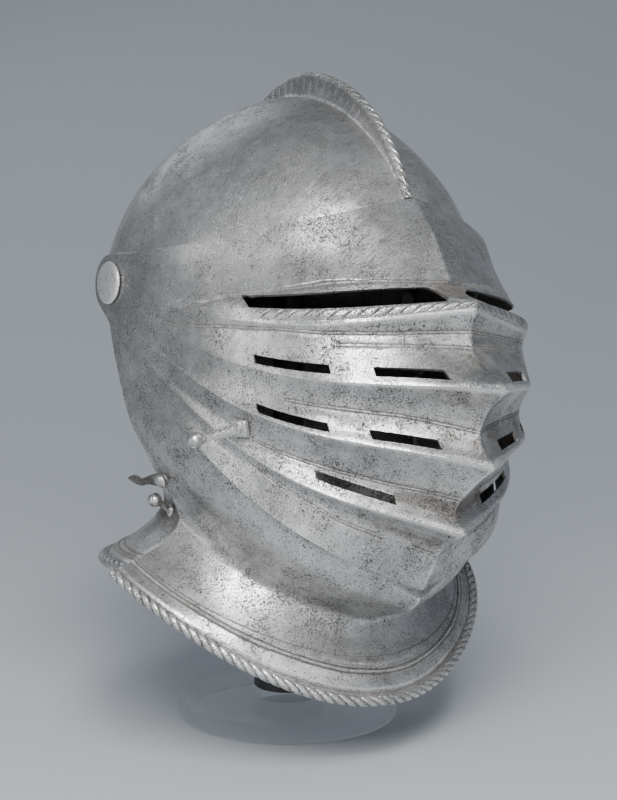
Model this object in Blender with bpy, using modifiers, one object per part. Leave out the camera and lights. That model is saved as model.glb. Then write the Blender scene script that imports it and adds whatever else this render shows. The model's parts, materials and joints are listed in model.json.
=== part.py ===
"""Close helmet on a display stand: skull with comb, bellows visor, bevor, pivots, lifting peg, neck hook and stand.

Metres, +Z up, the helmet faces -Y and its own left is +X. The origin is the centre of the stand's base, on the floor.
The helmet's shapes are worked out round the hinge line, which joins its two pivots: reach is forward of that line
and rise is above it. The helmet leans to its left on the stand, as it does in the photograph.
"""

import math

import bmesh
import bpy
from mathutils import Matrix, Vector
from mathutils.bvhtree import BVHTree

# Driving sizes
VISOR_REACH = 0.215        # hinge line forward to the tip of the foremost ridge
FACE_DEPTH = 0.146         # hinge line down to the visor's edge under the chin
BROW_RISE = 0.059          # hinge line up to the visor's edge on the brow
VISOR_HALF_WIDTH = 0.1105  # middle plane to the visor's outside at a pivot
ARM_RADIUS = 0.0160        # round end of the visor and bevor about a pivot
CROWN_RISE = 0.1145        # hinge line up to the top of the bowl, without its comb
SKULL_FRONT = 0.140        # hinge line forward to where the bowl's curve would end
SKULL_BACK = 0.091         # hinge line back to the back of the bowl
BOWL_MIDDLE = 0.008        # hinge line forward to the middle of the bowl
BOWL_BASE = -0.005         # hinge line up to where the bowl is widest
BOWL_PEAK = 1.25           # above 1 draws the bowl's sides and back up to a peak
COMB_HEIGHT = 0.0146
COMB_THICKNESS = 0.0075
COMB_FRONT_ANGLE, COMB_BACK_ANGLE = 26, 158  # degrees up from straight ahead
# The comb's height over the bowl from its front end back, as shares of its length and of COMB_HEIGHT.
COMB_HEIGHTS = (
    (0.00, 0.12), (0.06, 0.32), (0.12, 0.52), (0.17, 0.67), (0.27, 0.90), (0.40, 1.00),
    (0.485, 0.80), (0.59, 0.56), (0.75, 0.32), (0.90, 0.13), (1.00, 0.03),
)
RIM_REACH = 0.134          # hinge line forward to the neck rim
RIM_DROP = 0.210           # hinge line down to the neck rim in front
RIM_HALF_WIDTH = 0.122     # middle plane to the neck rim over the shoulder
RIM_ROLL_RADIUS = 0.0030
WALL = 0.0016
PLATE_GAP = 0.0010         # between one plate and the plate that it turns over
BEVOR_SINK = 0.016         # how far the bevor's hidden top edge lies behind the visor
BEVOR_TURN = 0.4           # share of that sink where the plate starts to turn down again
FIT = 0.0003               # between fixed pieces that touch
RUN = 0.0005               # round a shaft that a plate turns on
PIVOT_HEAD_RADIUS = 0.0118
PIVOT_HEAD_HEIGHT = 0.0026
PIVOT_SHAFT_RADIUS = 0.0030
PIVOT_RIM = 0.25           # upright rim of a pivot's head, as a share of its height
WASHER_SPREAD = 1.7        # radius of a pivot's washer, as a share of its shaft's
SIGHT_HEIGHT = 0.0052
BREATH_HEIGHT = 0.0048
WASHER_GAP = 0.0027        # between a pivot's inner end and the skull's curved inside
PEG_LENGTH = 0.025
PEG_RADIUS = 0.0033
PEG_TAPER = 0.78           # the shank's radius at its ball, as a share of PEG_RADIUS
PEG_BALL_SEAT = 0.4        # the ball's middle beyond the shank's end, as a share of its radius
PEG_BALL_RADIUS = 0.0042
PEG_FOOT = 0.0088          # side of the square foot of the peg
PEG_FOOT_HEIGHT = 0.0032
HOOK_LENGTH = 0.028
HOOK_WIDTH = 0.0085
HOOK_THICKNESS = 0.0022
HOOK_FLARE = 0.35          # tilt that swings the hook's point away from the neck
RIVET_RADIUS = 0.0018      # shafts of the hook's rivet, the peg and the stud
RIVET_HEAD_SPREAD = 2.1    # radius of the hook's rivet head, as a share of its shaft's
RIVET_HOLD = WALL * 3      # how far a riveted shaft goes into and through a plate
STUD_COLLAR_RADIUS = 0.0036
STUD_LENGTH = 0.012
STUD_BALL_RADIUS = 0.0040
STAND_RADIUS = 0.0645
STAND_THICKNESS = 0.011
STAND_ROUNDING = 0.35      # radius of the disc's rounded edge, as a share of its thickness
COLUMN_RADIUS = 0.019
COLUMN_HEIGHT = 0.0060
COLLAR_RADIUS = 0.0205
COLLAR_HEIGHT = 0.007
POST_RADIUS = 0.009
POST_PAD_RADIUS = 0.030
POST_SIDES = 24
PAD_EDGE = 0.25            # upright edge of the pad, as a share of its radius
PAD_DOME = 0.30            # share of the pad's radius that its dome rises
HINGE_HEIGHT = 0.2483      # floor to the middle of the hinge line
HINGE_FORWARD = -0.021     # from the base's centre, so the hinge line lies behind it
HINGE_SIDEWAYS = 0.0045    # from the base's centre to the middle of the hinge line, to the helmet's left
LEAN = math.radians(5.5)

BEVOR_HALF_WIDTH = VISOR_HALF_WIDTH - WALL - PLATE_GAP
SKULL_HALF_WIDTH = BEVOR_HALF_WIDTH - WALL - PLATE_GAP

# A row is a line from the middle plane round to the pivot, a curve with four guiding points: one on the middle
# plane, one on the flank, one on the cheek and one at the end. Its reaches are shares of VISOR_REACH, its heights
# shares of FACE_DEPTH above the hinge line, and arm is the end's height as a share of ARM_RADIUS.
# Columns: name, reach, flank_reach, cheek_reach, height, flank_height, cheek_height, arm
VISOR_ROWS = (
    ("brow_edge", 0.584, 0.595, 0.409, 0.404, 0.318, 0.165, 1.00),
    ("brow_middle", 0.679, 0.633, 0.484, 0.260, 0.208, 0.050, 0.74),
    ("sight_crease", 0.740, 0.688, 0.577, 0.137, 0.121, -0.051, 0.44),
    ("sight_top", 0.758, 0.707, 0.623, 0.086, 0.077, -0.055, 0.15),
    ("lip_top", 0.847, 0.730, 0.679, 0.058, 0.008, -0.087, 0.05),
    ("lip_bottom", 0.856, 0.740, 0.693, 0.027, -0.047, -0.147, -0.02),
    ("hollow_1_top", 0.842, 0.725, 0.679, -0.055, -0.065, -0.183, -0.08),
    ("hollow_1_low", 0.870, 0.727, 0.681, -0.144, -0.072, -0.258, -0.13),
    ("ridge_1", 1.000, 0.744, 0.707, -0.234, -0.231, -0.356, -0.18),
    ("hollow_2_top", 0.935, 0.727, 0.686, -0.308, -0.277, -0.425, -0.23),
    ("hollow_2_middle", 0.907, 0.721, 0.681, -0.390, -0.319, -0.479, -0.28),
    ("hollow_2_low", 0.930, 0.727, 0.686, -0.459, -0.363, -0.520, -0.33),
    ("ridge_2", 0.977, 0.744, 0.707, -0.509, -0.417, -0.548, -0.38),
    ("hollow_3_top", 0.902, 0.714, 0.679, -0.589, -0.466, -0.568, -0.45),
    ("hollow_3_low", 0.840, 0.684, 0.656, -0.695, -0.541, -0.603, -0.52),
    ("ridge_3", 0.886, 0.700, 0.674, -0.765, -0.657, -0.664, -0.59),
    ("hollow_4", 0.807, 0.684, 0.656, -0.832, -0.671, -0.699, -0.66),
    ("chin", 0.772, 0.690, 0.651, -0.925, -0.740, -0.740, -0.74),
    ("visor_edge", 0.740, 0.688, 0.647, -1.000, -0.856, -0.788, -0.81),
)
VISOR_FLANK_WIDTH = 0.54   # sideways place of the first guiding point, as a share of the half width

# The bevor's rows end on its back edge. Reaches are shares of RIM_REACH, widths of RIM_HALF_WIDTH and heights of
# RIM_DROP, each at the flank, the cheek and the end, with the reach and height on the middle plane first.
# Columns: name, reach, flank, cheek, end; flank_width, cheek_width, end_width; height, flank, cheek, end
BEVOR_ROWS = (
    ("jaw", 1.176, 1.060, 0.970, 0.000, 0.470, 0.850, 0.852, -0.724, -0.623, -0.474, -0.190),
    ("jaw_low", 1.120, 1.010, 0.900, 0.090, 0.440, 0.790, 0.803, -0.757, -0.689, -0.580, -0.357),
    ("under_chin", 0.990, 0.920, 0.800, 0.187, 0.390, 0.690, 0.721, -0.786, -0.740, -0.636, -0.476),
    ("waist", 0.880, 0.850, 0.680, 0.321, 0.330, 0.600, 0.664, -0.810, -0.785, -0.702, -0.590),
    ("flare", 0.885, 0.860, 0.690, 0.336, 0.340, 0.660, 0.721, -0.857, -0.837, -0.752, -0.645),
    ("band_top", 0.918, 0.903, 0.709, 0.343, 0.344, 0.721, 0.828, -0.898, -0.883, -0.795, -0.684),
    ("band_step", 0.970, 0.940, 0.690, 0.343, 0.400, 0.820, 0.910, -0.931, -0.918, -0.822, -0.705),
    ("rim", 1.000, 0.970, 0.672, 0.336, 0.450, 0.918, 1.000, -1.000, -1.019, -0.819, -0.724),
)

# The back of the skull below the bowl. Each row is half an oval: width is its half width as a share of
# RIM_HALF_WIDTH, forward its middle ahead of the hinge line and depth its length behind that middle as shares of
# SKULL_BACK, and the heights at the side and behind are shares of RIM_DROP.
# Columns: name, width, forward, depth, side, behind
NAPE_ROWS = (
    ("ear", 0.829, 0.09, 0.880, -0.190, -0.190),
    ("jaw", 0.771, 0.24, 0.976, -0.357, -0.345),
    ("nape", 0.689, 0.37, 1.030, -0.476, -0.455),
    ("waist", 0.634, 0.47, 1.000, -0.580, -0.560),
    ("flare", 0.682, 0.47, 1.030, -0.640, -0.620),
    ("band_top", 0.786, 0.46, 1.080, -0.680, -0.675),
    ("band_step", 0.865, 0.45, 1.140, -0.702, -0.710),
    ("rim", 0.925, 0.45, 1.190, -0.722, -0.745),
)
NAPE_FRONT = 0.35          # length of the ovals ahead of their middles, as a share of RIM_REACH
NAPE_FALL = 0.46           # how steeply those lines fall forward, under the bevor
NAPE_TAPER = 1.3           # above 1 draws the sides in towards the back

# Slots in the visor: row above, row below, share of the way down between them, start and end along the row, height.
BREATHS = (
    ("upper_inner", "hollow_1_low", "ridge_1", 0.66, 0.117, 0.300),
    ("upper_outer", "hollow_1_low", "ridge_1", 0.66, 0.415, 0.610),
    ("middle_inner", "hollow_2_low", "ridge_2", 0.20, 0.112, 0.290),
    ("middle_outer", "hollow_2_low", "ridge_2", 0.20, 0.400, 0.590),
    ("lower", "hollow_3_low", "ridge_3", 0.30, 0.180, 0.395),
)
SIGHT_START, SIGHT_END = 0.110, 0.630

NECK_EDGE = 0.43           # reach of the skull's front edge at the neck, as a share of SKULL_FRONT

# The skull's face opening seen from the side: reach as a share of SKULL_FRONT, height as a share of RIM_DROP.
OPENING_OUTLINE = (
    (1.50, 0.190), (0.92, 0.190), (0.76, 0.130), (0.58, 0.030), (0.42, -0.120), (0.31, -0.290),
    (0.33, -0.430), (0.42, -0.560), (NECK_EDGE, -0.640), (NECK_EDGE, -1.100), (1.50, -1.100),
)

# Places on the wearer's right, where they show from that side: reach and height as shares of RIM_REACH and RIM_DROP.
PEG_PLACE = (0.836, -0.314)
HOOK_PLACE = (0.290, -0.490)
STUD_PLACE = (0.200, -0.590)
PEG_DIRECTION = (-27, 2, -7)
STUD_DIRECTION = (-10, 1, 6)

# The hook's outline from its eye back to its point, as shares of HOOK_LENGTH and HOOK_WIDTH.
HOOK_OUTLINE = (
    (0.00, 0.50), (0.20, 0.42), (0.45, 0.32), (0.62, 0.50), (0.80, 0.38), (1.00, -0.05),
    (0.86, -0.22), (0.72, -0.30), (0.62, 0.00), (0.50, -0.10), (0.20, -0.42), (0.00, -0.50), (-0.12, -0.30),
    (-0.16, 0.00), (-0.12, 0.30),
)

STEEL = (0.62, 0.61, 0.59, 1.0)
FITTING_STEEL = (0.56, 0.54, 0.52, 1.0)
CLEAR = (0.93, 0.95, 0.95, 1.0)
BLACK = (0.02, 0.02, 0.022, 1.0)


def material(name, colour, roughness, metallic, alpha=1.0):
    """A Principled BSDF material."""
    made = bpy.data.materials.new(name)
    made.use_nodes = True
    shader = made.node_tree.nodes["Principled BSDF"]
    shader.inputs["Base Color"].default_value = colour
    shader.inputs["Roughness"].default_value = roughness
    shader.inputs["Metallic"].default_value = metallic
    shader.inputs["Alpha"].default_value = alpha
    return made


def collection(name):
    """A collection linked to the scene."""
    made = bpy.data.collections.new(name)
    bpy.context.scene.collection.children.link(made)
    return made


def add_object(name, mesh, group, parent=None, finish=None):
    """An object in a collection, under a parent, with one material."""
    made = bpy.data.objects.new(name, mesh)
    group.objects.link(made)
    made.parent = parent
    if finish:
        mesh.materials.append(finish)
    return made


def mesh_of(name, build):
    """A mesh filled by build(bm), shaded smooth but for its sharp edges."""
    bm = bmesh.new()
    build(bm)
    mesh = bpy.data.meshes.new(name)
    bm.to_mesh(mesh)
    bm.free()
    mesh.shade_smooth()
    mesh.set_sharp_from_angle(angle=math.radians(32))
    return mesh


def bezier(ends, t):
    """A point at t on the cubic through four guiding numbers."""
    a, b, c, d = ends
    return a * (1 - t) ** 3 + 3 * b * t * (1 - t) ** 2 + 3 * c * t * t * (1 - t) + d * t ** 3


class Row:
    """A line of a plate from the middle plane round to its back edge, by its four guiding points."""

    def __init__(self, reaches, widths, heights):
        self.reaches, self.widths, self.heights = reaches, widths, heights

    def point(self, t):
        """The point at t, 0 on the middle plane and 1 on the back edge."""
        return Vector((bezier(self.widths, t), -bezier(self.reaches, t), bezier(self.heights, t)))

    def set_in(self, inset, half_width, end):
        """A row behind this one, set in from it, with its end at another height on the round arm."""
        reaches = [reach - inset for reach in self.reaches[:3]] + [arm_reach(end)]
        return Row(reaches, [0, self.widths[1] - inset, half_width, half_width], self.heights[:3] + [end])


def arm_reach(height):
    """How far behind the hinge line the arm's round end lies at a height."""
    return -math.sqrt(max(ARM_RADIUS ** 2 - height ** 2, 0))


def visor_rows():
    """The visor's rows by name."""
    rows = {}
    for name, reach, flank, cheek, height, flank_height, cheek_height, arm in VISOR_ROWS:
        reaches = [share * VISOR_REACH for share in (reach, flank, cheek)] + [arm_reach(arm * ARM_RADIUS)]
        widths = [share * VISOR_HALF_WIDTH for share in (0, VISOR_FLANK_WIDTH, 1, 1)]
        heights = [share * FACE_DEPTH for share in (height, flank_height, cheek_height)] + [arm * ARM_RADIUS]
        rows[name] = Row(reaches, widths, heights)
    rows["brow_edge"].heights[0] = BROW_RISE
    return rows


def bevor_rows():
    """The bevor's rows: three behind the visor's lowest rows, and those of the jaw and neck."""
    visor = visor_rows()
    inset = WALL + PLATE_GAP
    rows = [
        visor["hollow_3_low"].set_in(inset + BEVOR_SINK, BEVOR_HALF_WIDTH, ARM_RADIUS),
        visor["hollow_4"].set_in(inset + BEVOR_SINK * BEVOR_TURN, BEVOR_HALF_WIDTH, 0.0),
        visor["visor_edge"].set_in(inset, BEVOR_HALF_WIDTH, -ARM_RADIUS * 0.95),
    ]
    for row in BEVOR_ROWS:
        reaches = [share * RIM_REACH for share in row[1:5]]
        widths = [0] + [share * RIM_HALF_WIDTH for share in row[5:8]]
        heights = [share * RIM_DROP for share in row[8:12]]
        rows.append(Row(reaches, widths, heights))
    return rows


def loft(bm, lines):
    """Quads between lines of points, all with as many points, downwards and away from the middle plane."""
    rings = [[bm.verts.new(point) for point in line] for line in lines]
    for upper, lower in zip(rings, rings[1:]):
        for i in range(len(upper) - 1):
            bm.faces.new((upper[i], lower[i], lower[i + 1], upper[i + 1]))
    return rings


def steps(count, bend=1.0):
    """count + 1 values from 0 to 1, closer together at the start when bend is above 1."""
    return [(i / count) ** bend for i in range(count + 1)]


def mirror(target):
    """The other half of a piece that is open at the middle plane."""
    made = target.modifiers.new("Other half", "MIRROR")
    made.use_axis = (True, False, False)
    made.use_clip = True
    made.merge_threshold = 0.0001


def thicken(target, wall=WALL):
    """A wall inside the modelled face."""
    made = target.modifiers.new("Wall", "SOLIDIFY")
    made.thickness = wall
    made.offset = -1
    made.use_even_offset = True
    made.use_quality_normals = True


def boolean(target, tool, operation):
    """An exact cut or join with a tool that isn't built."""
    made = target.modifiers.new(tool.name, "BOOLEAN")
    made.operation = operation
    made.solver = "EXACT"
    made.object = tool
    tool.hide_render = True
    tool.display_type = "WIRE"


def along(direction):
    """The rotation that turns +Z to a direction."""
    return Vector(direction).to_track_quat("Z", "Y").to_matrix().to_4x4()


def round_bar(bm, length, radius, place, radius_end=None, sides=16):
    """A cylinder or cone whose middle is at the place's origin."""
    bmesh.ops.create_cone(
        bm, cap_ends=True, cap_tris=False, segments=sides, radius1=radius,
        radius2=radius if radius_end is None else radius_end, depth=length, matrix=place)


def cutter_bar(name, centre, direction, length, radius, group, parent):
    """A round cutter."""
    place = Matrix.Translation(centre) @ along(direction)
    mesh = mesh_of(name, lambda bm: round_bar(bm, length, radius, place, sides=20))
    return add_object(name, mesh, group, parent)


def slot_cutter(name, point_at, start, end, height, side, group, parent):
    """A cutter that follows a row of the visor, a slot's height tall, from well outside to well inside."""
    def build(bm):
        count = 5
        loops = []
        for i in range(count + 1):
            t = start + (end - start) * i / count
            here, ahead = point_at(t), point_at(t + 0.004)
            run = (ahead - here).normalized()
            out = run.cross(Vector((0, 0, 1))).normalized() * -1
            up = out.cross(run).normalized() * (height / 2)
            deep = out * 0.012
            loops.append([here + deep + up, here + deep - up, here - deep - up, here - deep + up])
        rings = [[bm.verts.new((point.x * side, point.y, point.z)) for point in loop] for loop in loops]
        for one, two in zip(rings, rings[1:]):
            for i in range(4):
                j = (i + 1) % 4
                bm.faces.new((one[i], one[j], two[j], two[i]))
        bm.faces.new(rings[0][::-1])
        bm.faces.new(rings[-1])
        bmesh.ops.recalc_face_normals(bm, faces=bm.faces)
    return add_object(name, mesh_of(name, build), group, parent)


def swept_roll(name, points, radius, group, parent):
    """A round roll along points, as a closed mesh that a plate joins."""
    curve = bpy.data.curves.new(name, "CURVE")
    curve.dimensions = "3D"
    curve.bevel_depth = radius
    curve.bevel_resolution = 1
    curve.use_fill_caps = True
    spline = curve.splines.new("POLY")
    spline.points.add(len(points) - 1)
    for knot, point in zip(spline.points, points):
        knot.co = (*point, 1)
    shape = add_object(name + "_line", curve, group)
    bpy.context.view_layer.update()
    mesh = bpy.data.meshes.new_from_object(shape.evaluated_get(bpy.context.evaluated_depsgraph_get()))
    bpy.data.objects.remove(shape)
    bm = bmesh.new()
    bm.from_mesh(mesh)
    bmesh.ops.remove_doubles(bm, verts=bm.verts, dist=0.00001)
    bmesh.ops.recalc_face_normals(bm, faces=bm.faces)
    bm.to_mesh(mesh)
    bm.free()
    return add_object(name, mesh, group, parent)


def dome_point(polar, around):
    """A point of the bowl: polar is 0 at the top, around is 0 in front and pi behind."""
    front = around < math.pi / 2
    forward = SKULL_FRONT - BOWL_MIDDLE if front else SKULL_BACK + BOWL_MIDDLE
    flat = math.sin(polar)
    return Vector((
        SKULL_HALF_WIDTH * flat ** BOWL_PEAK * math.sin(around),
        -(BOWL_MIDDLE + forward * flat ** (1 if front else BOWL_PEAK) * math.cos(around)),
        BOWL_BASE + (CROWN_RISE - BOWL_BASE) * math.cos(polar)))


def skull_lines(columns):
    """The skull's lines, each a ring from the front to the back, from near the crown down to the neck rim."""
    lines = []
    for polar in (13, 26, 38, 49, 59, 69, 79, 90):
        lines.append([dome_point(math.radians(polar), math.pi * i / columns) for i in range(columns + 1)])
    for _, width, forward, depth, side, behind in NAPE_ROWS:
        half, middle = width * RIM_HALF_WIDTH, forward * SKULL_BACK
        line = []
        for i in range(columns + 1):
            arc = math.pi * i / columns
            turn = math.cos(arc)
            length = NAPE_FRONT * RIM_REACH if turn > 0 else depth * SKULL_BACK
            if turn > 0:
                rise = side - NAPE_FALL * length * turn / RIM_DROP
            else:
                rise = side + (behind - side) * (-turn) ** 1.5
            taper = 1 if turn > 0 else NAPE_TAPER
            wide = half * max(math.sin(arc), 0) ** taper
            line.append(Vector((wide, -(middle + length * turn), rise * RIM_DROP)))
        line[-1].x = 0
        lines.append(line)
    return lines


def comb_outline():
    """The comb's crest and foot, from the brow over the crown to the back: angle, foot and crest radius."""
    pairs = []
    count = 22
    for i in range(count + 1):
        angle = math.radians(COMB_FRONT_ANGLE + (COMB_BACK_ANGLE - COMB_FRONT_ANGLE) * i / count)
        foot = bowl_radius(angle)
        pairs.append((angle, foot, foot + comb_height(i / count)))
    return pairs


def bowl_radius(angle):
    """Hinge line to the bowl in the middle plane, at an angle up from straight ahead."""
    low, high = -math.pi / 2, math.pi / 2
    for _ in range(40):
        polar = (low + high) / 2
        point = dome_point(abs(polar), 0 if polar < 0 else math.pi)
        if math.atan2(point.z, -point.y) < angle:
            low = polar
        else:
            high = polar
    return math.hypot(point.y, point.z)


def comb_height(share):
    """The comb's height over the bowl, from its front end to its back end."""
    for (at, tall), (past, next_tall) in zip(COMB_HEIGHTS, COMB_HEIGHTS[1:]):
        if share <= past:
            return (tall + (next_tall - tall) * (share - at) / (past - at)) * COMB_HEIGHT
    return 0


def build_skull(group, cutters, parent, steel):
    """The bowl with its comb, down the nape to the back of the neck rim."""
    columns = 16
    lines = skull_lines(columns)

    def build(bm):
        rings = loft(bm, lines)
        apex = bm.verts.new(dome_point(0, 0))
        for i in range(columns):
            bm.faces.new((apex, rings[0][i], rings[0][i + 1]))

    skull = add_object("skull", mesh_of("skull", build), group, parent, steel)
    mirror(skull)
    thicken(skull)
    opening = add_object("face_opening", mesh_of("face_opening", build_opening), cutters, parent)
    boolean(skull, opening, "DIFFERENCE")
    comb = add_object("comb_form", mesh_of("comb_form", build_comb), cutters, parent)
    boolean(skull, comb, "UNION")
    front_edge = -NECK_EDGE * SKULL_FRONT
    edge = [point for point in lines[-1] if point.y > front_edge + RIM_ROLL_RADIUS]
    path = edge + [Vector((-p.x, p.y, p.z)) for p in reversed(edge[:-1])]
    roll = swept_roll("back_rim_roll", roll_path(path), RIM_ROLL_RADIUS, cutters, parent)
    boolean(skull, roll, "UNION")
    for side, word in ((-1, "right"), (1, "left")):
        hole = cutter_bar("skull_hole_" + word, (side * SKULL_HALF_WIDTH, 0, 0), (1, 0, 0), 0.02,
                          PIVOT_SHAFT_RADIUS + FIT, cutters, parent)
        boolean(skull, hole, "DIFFERENCE")
    return skull


def roll_path(path):
    """The centre of a rolled edge: the edge itself, a little inside the plate."""
    return [Vector((p.x, p.y, p.z - RIM_ROLL_RADIUS * 0.35)) for p in path]


def build_opening(bm):
    """The face opening's outline, drawn out sideways through both walls."""
    outer = SKULL_HALF_WIDTH * 1.6
    rings = []
    for x in (-outer, outer):
        rings.append([bm.verts.new((x, -reach * SKULL_FRONT, height * RIM_DROP)) for reach, height in OPENING_OUTLINE])
    one, two = rings
    for i in range(len(one)):
        j = (i + 1) % len(one)
        bm.faces.new((one[i], one[j], two[j], two[i]))
    bm.faces.new(one[::-1])
    bm.faces.new(two)
    bmesh.ops.recalc_face_normals(bm, faces=bm.faces)


def build_comb(bm):
    """The comb as a low fin with a rounded crest, its foot sunk in the bowl's wall."""
    loops = []
    for angle, radius, crest in comb_outline():
        out = Vector((0, -math.cos(angle), math.sin(angle)))
        half = COMB_THICKNESS / 2
        sunk, neck = radius - WALL * 0.5, max(crest - half, radius + 0.0002)
        loop = []
        for share_x, far in ((1, sunk), (1, neck), (0.7, (neck + crest) / 2 + 0.001), (0, crest + 0.0004)):
            loop.append(out * far + Vector((share_x * half, 0, 0)))
        loop += [Vector((-p.x, p.y, p.z)) for p in reversed(loop[:-1])]
        loops.append(loop)
    rings = [[bm.verts.new(point) for point in loop] for loop in loops]
    for one, two in zip(rings, rings[1:]):
        for i in range(len(one)):
            j = (i + 1) % len(one)
            bm.faces.new((one[i], one[j], two[j], two[i]))
    bm.faces.new(rings[0][::-1])
    bm.faces.new(rings[-1])
    bmesh.ops.recalc_face_normals(bm, faces=bm.faces)


def build_visor(group, cutters, parent, steel):
    """The one-piece bellows visor with its sights and breaths."""
    rows = visor_rows()
    names = [row[0] for row in VISOR_ROWS]
    places = steps(15, 1.15)
    mesh = mesh_of("visor", lambda bm: loft(bm, [[rows[n].point(t) for t in places] for n in names]))
    visor = add_object("visor", mesh, group, parent, steel)
    mirror(visor)
    thicken(visor)
    for side, word in ((-1, "right"), (1, "left")):
        def sight(t):
            return (rows["sight_top"].point(t) + rows["lip_top"].point(t)) / 2
        cut = slot_cutter("sight_" + word, sight, SIGHT_START, SIGHT_END, SIGHT_HEIGHT, side, cutters, parent)
        boolean(visor, cut, "DIFFERENCE")
        for name, upper, lower, down, start, end in BREATHS:
            def breath(t, upper=upper, lower=lower, down=down):
                return rows[upper].point(t).lerp(rows[lower].point(t), down)
            cut = slot_cutter(f"breath_{name}_{word}", breath, start, end, BREATH_HEIGHT, side, cutters, parent)
            boolean(visor, cut, "DIFFERENCE")
        hole = cutter_bar("visor_hole_" + word, (side * VISOR_HALF_WIDTH, 0, 0), (1, 0, 0), 0.012,
                          PIVOT_SHAFT_RADIUS + RUN, cutters, parent)
        boolean(visor, hole, "DIFFERENCE")
    return visor


def build_bevor(group, cutters, parent, steel):
    """The chin and throat plate with the front of the neck rim."""
    rows = bevor_rows()
    places = steps(15, 1.1)
    lines = [[row.point(t) for t in places] for row in rows]
    mesh = mesh_of("bevor", lambda bm: loft(bm, lines))
    bevor = add_object("bevor", mesh, group, parent, steel)
    mirror(bevor)
    thicken(bevor)
    edge = lines[-1]
    path = [Vector((-p.x, p.y, p.z)) for p in reversed(edge)] + edge[1:]
    roll = swept_roll("front_rim_roll", roll_path(path), RIM_ROLL_RADIUS, cutters, parent)
    boolean(bevor, roll, "UNION")
    for side, word in ((-1, "right"), (1, "left")):
        hole = cutter_bar("bevor_hole_" + word, (side * BEVOR_HALF_WIDTH, 0, 0), (1, 0, 0), 0.012,
                          PIVOT_SHAFT_RADIUS + RUN, cutters, parent)
        boolean(bevor, hole, "DIFFERENCE")
    return bevor


def turned(name, profile, place, group, parent, finish, sides=24):
    """A turned piece: its profile's radii and heights run from the middle of its top down its outside."""
    def build(bm):
        knots = [bm.verts.new((radius, 0, height)) for radius, height in profile]
        for one, two in zip(knots, knots[1:]):
            bm.edges.new((one, two))
    made = add_object(name, mesh_of(name, build), group, parent, finish)
    made.matrix_local = place
    screw = made.modifiers.new("Turned", "SCREW")
    screw.steps = screw.render_steps = sides
    screw.use_merge_vertices = True
    screw.merge_threshold = 0.00001
    return made


def dome_profile(radius, height, count=4):
    """A dome's profile from its top's middle down to its rim, at height 0."""
    arcs = [math.pi / 2 * i / count for i in range(count + 1)]
    return [(radius * math.sin(arc), height * math.cos(arc)) for arc in arcs]


def build_pivot(side, word, group, parent, finish):
    """The domed pivot that the visor and the bevor turn on, with its washer inside the skull."""
    grip = VISOR_HALF_WIDTH + FIT - (SKULL_HALF_WIDTH - WALL) + WASHER_GAP
    washer = PIVOT_SHAFT_RADIUS * WASHER_SPREAD
    rim = PIVOT_HEAD_HEIGHT * PIVOT_RIM
    profile = [(r, h * (1 - PIVOT_RIM) + rim) for r, h in dome_profile(PIVOT_HEAD_RADIUS, PIVOT_HEAD_HEIGHT)]
    profile += [
        (PIVOT_HEAD_RADIUS, 0), (PIVOT_SHAFT_RADIUS, 0), (PIVOT_SHAFT_RADIUS, -grip), (washer, -grip),
        (washer, -grip - WALL), (0, -grip - WALL),
    ]
    place = Matrix.Translation((side * (VISOR_HALF_WIDTH + FIT), 0, 0)) @ along((side, 0, 0))
    return turned("pivot_" + word, profile, place, group, parent, finish, 18)


def surface_of(target):
    """A piece's built surface, for seating other pieces on it."""
    bpy.context.view_layer.update()
    return BVHTree.FromObject(target, bpy.context.evaluated_depsgraph_get())


def right_side(tree, place):
    """The point of a surface on the wearer's right at a reach and height, and the way out of it there."""
    start = Vector((-RIM_HALF_WIDTH * 2, -place[0] * RIM_REACH, place[1] * RIM_DROP))
    hit, normal, _, _ = tree.ray_cast(start, Vector((1, 0, 0)))
    return hit, normal if normal.x < 0 else -normal


def seated(tree, point, out, half):
    """A point on the way out where a flat foot of that half width clears the surface by FIT."""
    frame = along(out).to_3x3()
    far = out * 0.02
    rise = -far.length
    for x in (-half, 0, half):
        for y in (-half, 0, half):
            hit, _, _, distance = tree.ray_cast(point + far + frame @ Vector((x, y, 0)), -out)
            if hit:
                rise = max(rise, far.length - distance)
    return point + out * (rise + FIT)


def form(name, build, group, parent):
    """A closed form that a piece is joined with or cut by."""
    return add_object(name, mesh_of(name, build), group, parent)


def build_peg(visor, group, cutters, parent, finish):
    """The lifting peg on the visor's right cheek: square foot, tapered shank and ball, riveted through the visor."""
    tree = surface_of(visor)
    point, out = right_side(tree, PEG_PLACE)
    foot = seated(tree, point, out, PEG_FOOT / 2)
    lean = Vector(PEG_DIRECTION).normalized()
    middle = foot + out * PEG_FOOT_HEIGHT / 2
    frame = Matrix.Translation(middle) @ along(out)

    def block(bm):
        size = Matrix.Diagonal((PEG_FOOT, PEG_FOOT, PEG_FOOT_HEIGHT, 1))
        bmesh.ops.create_cube(bm, size=1, matrix=frame @ size)

    def shank(bm):
        place = Matrix.Translation(middle + lean * PEG_LENGTH / 2) @ along(lean)
        round_bar(bm, PEG_LENGTH, PEG_RADIUS, place, PEG_RADIUS * PEG_TAPER, 8)

    def ball(bm):
        place = Matrix.Translation(middle + lean * (PEG_LENGTH + PEG_BALL_RADIUS * PEG_BALL_SEAT)) @ along(lean)
        bmesh.ops.create_uvsphere(bm, u_segments=12, v_segments=8, radius=PEG_BALL_RADIUS, matrix=place)

    through = (foot - point).length + RIVET_HOLD

    def rivet(bm):
        place = Matrix.Translation(middle - out * through / 2) @ along(out)
        round_bar(bm, through, RIVET_RADIUS, place)

    peg = add_object("lifting_peg", mesh_of("lifting_peg", block), group, parent, finish)
    for name, build in (("peg_shank", shank), ("peg_ball", ball), ("peg_rivet", rivet)):
        boolean(peg, form(name, build, cutters, parent), "UNION")
    hole = cutter_bar("peg_hole", middle, out, through * 3, RIVET_RADIUS + FIT, cutters, parent)
    boolean(visor, hole, "DIFFERENCE")


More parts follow.
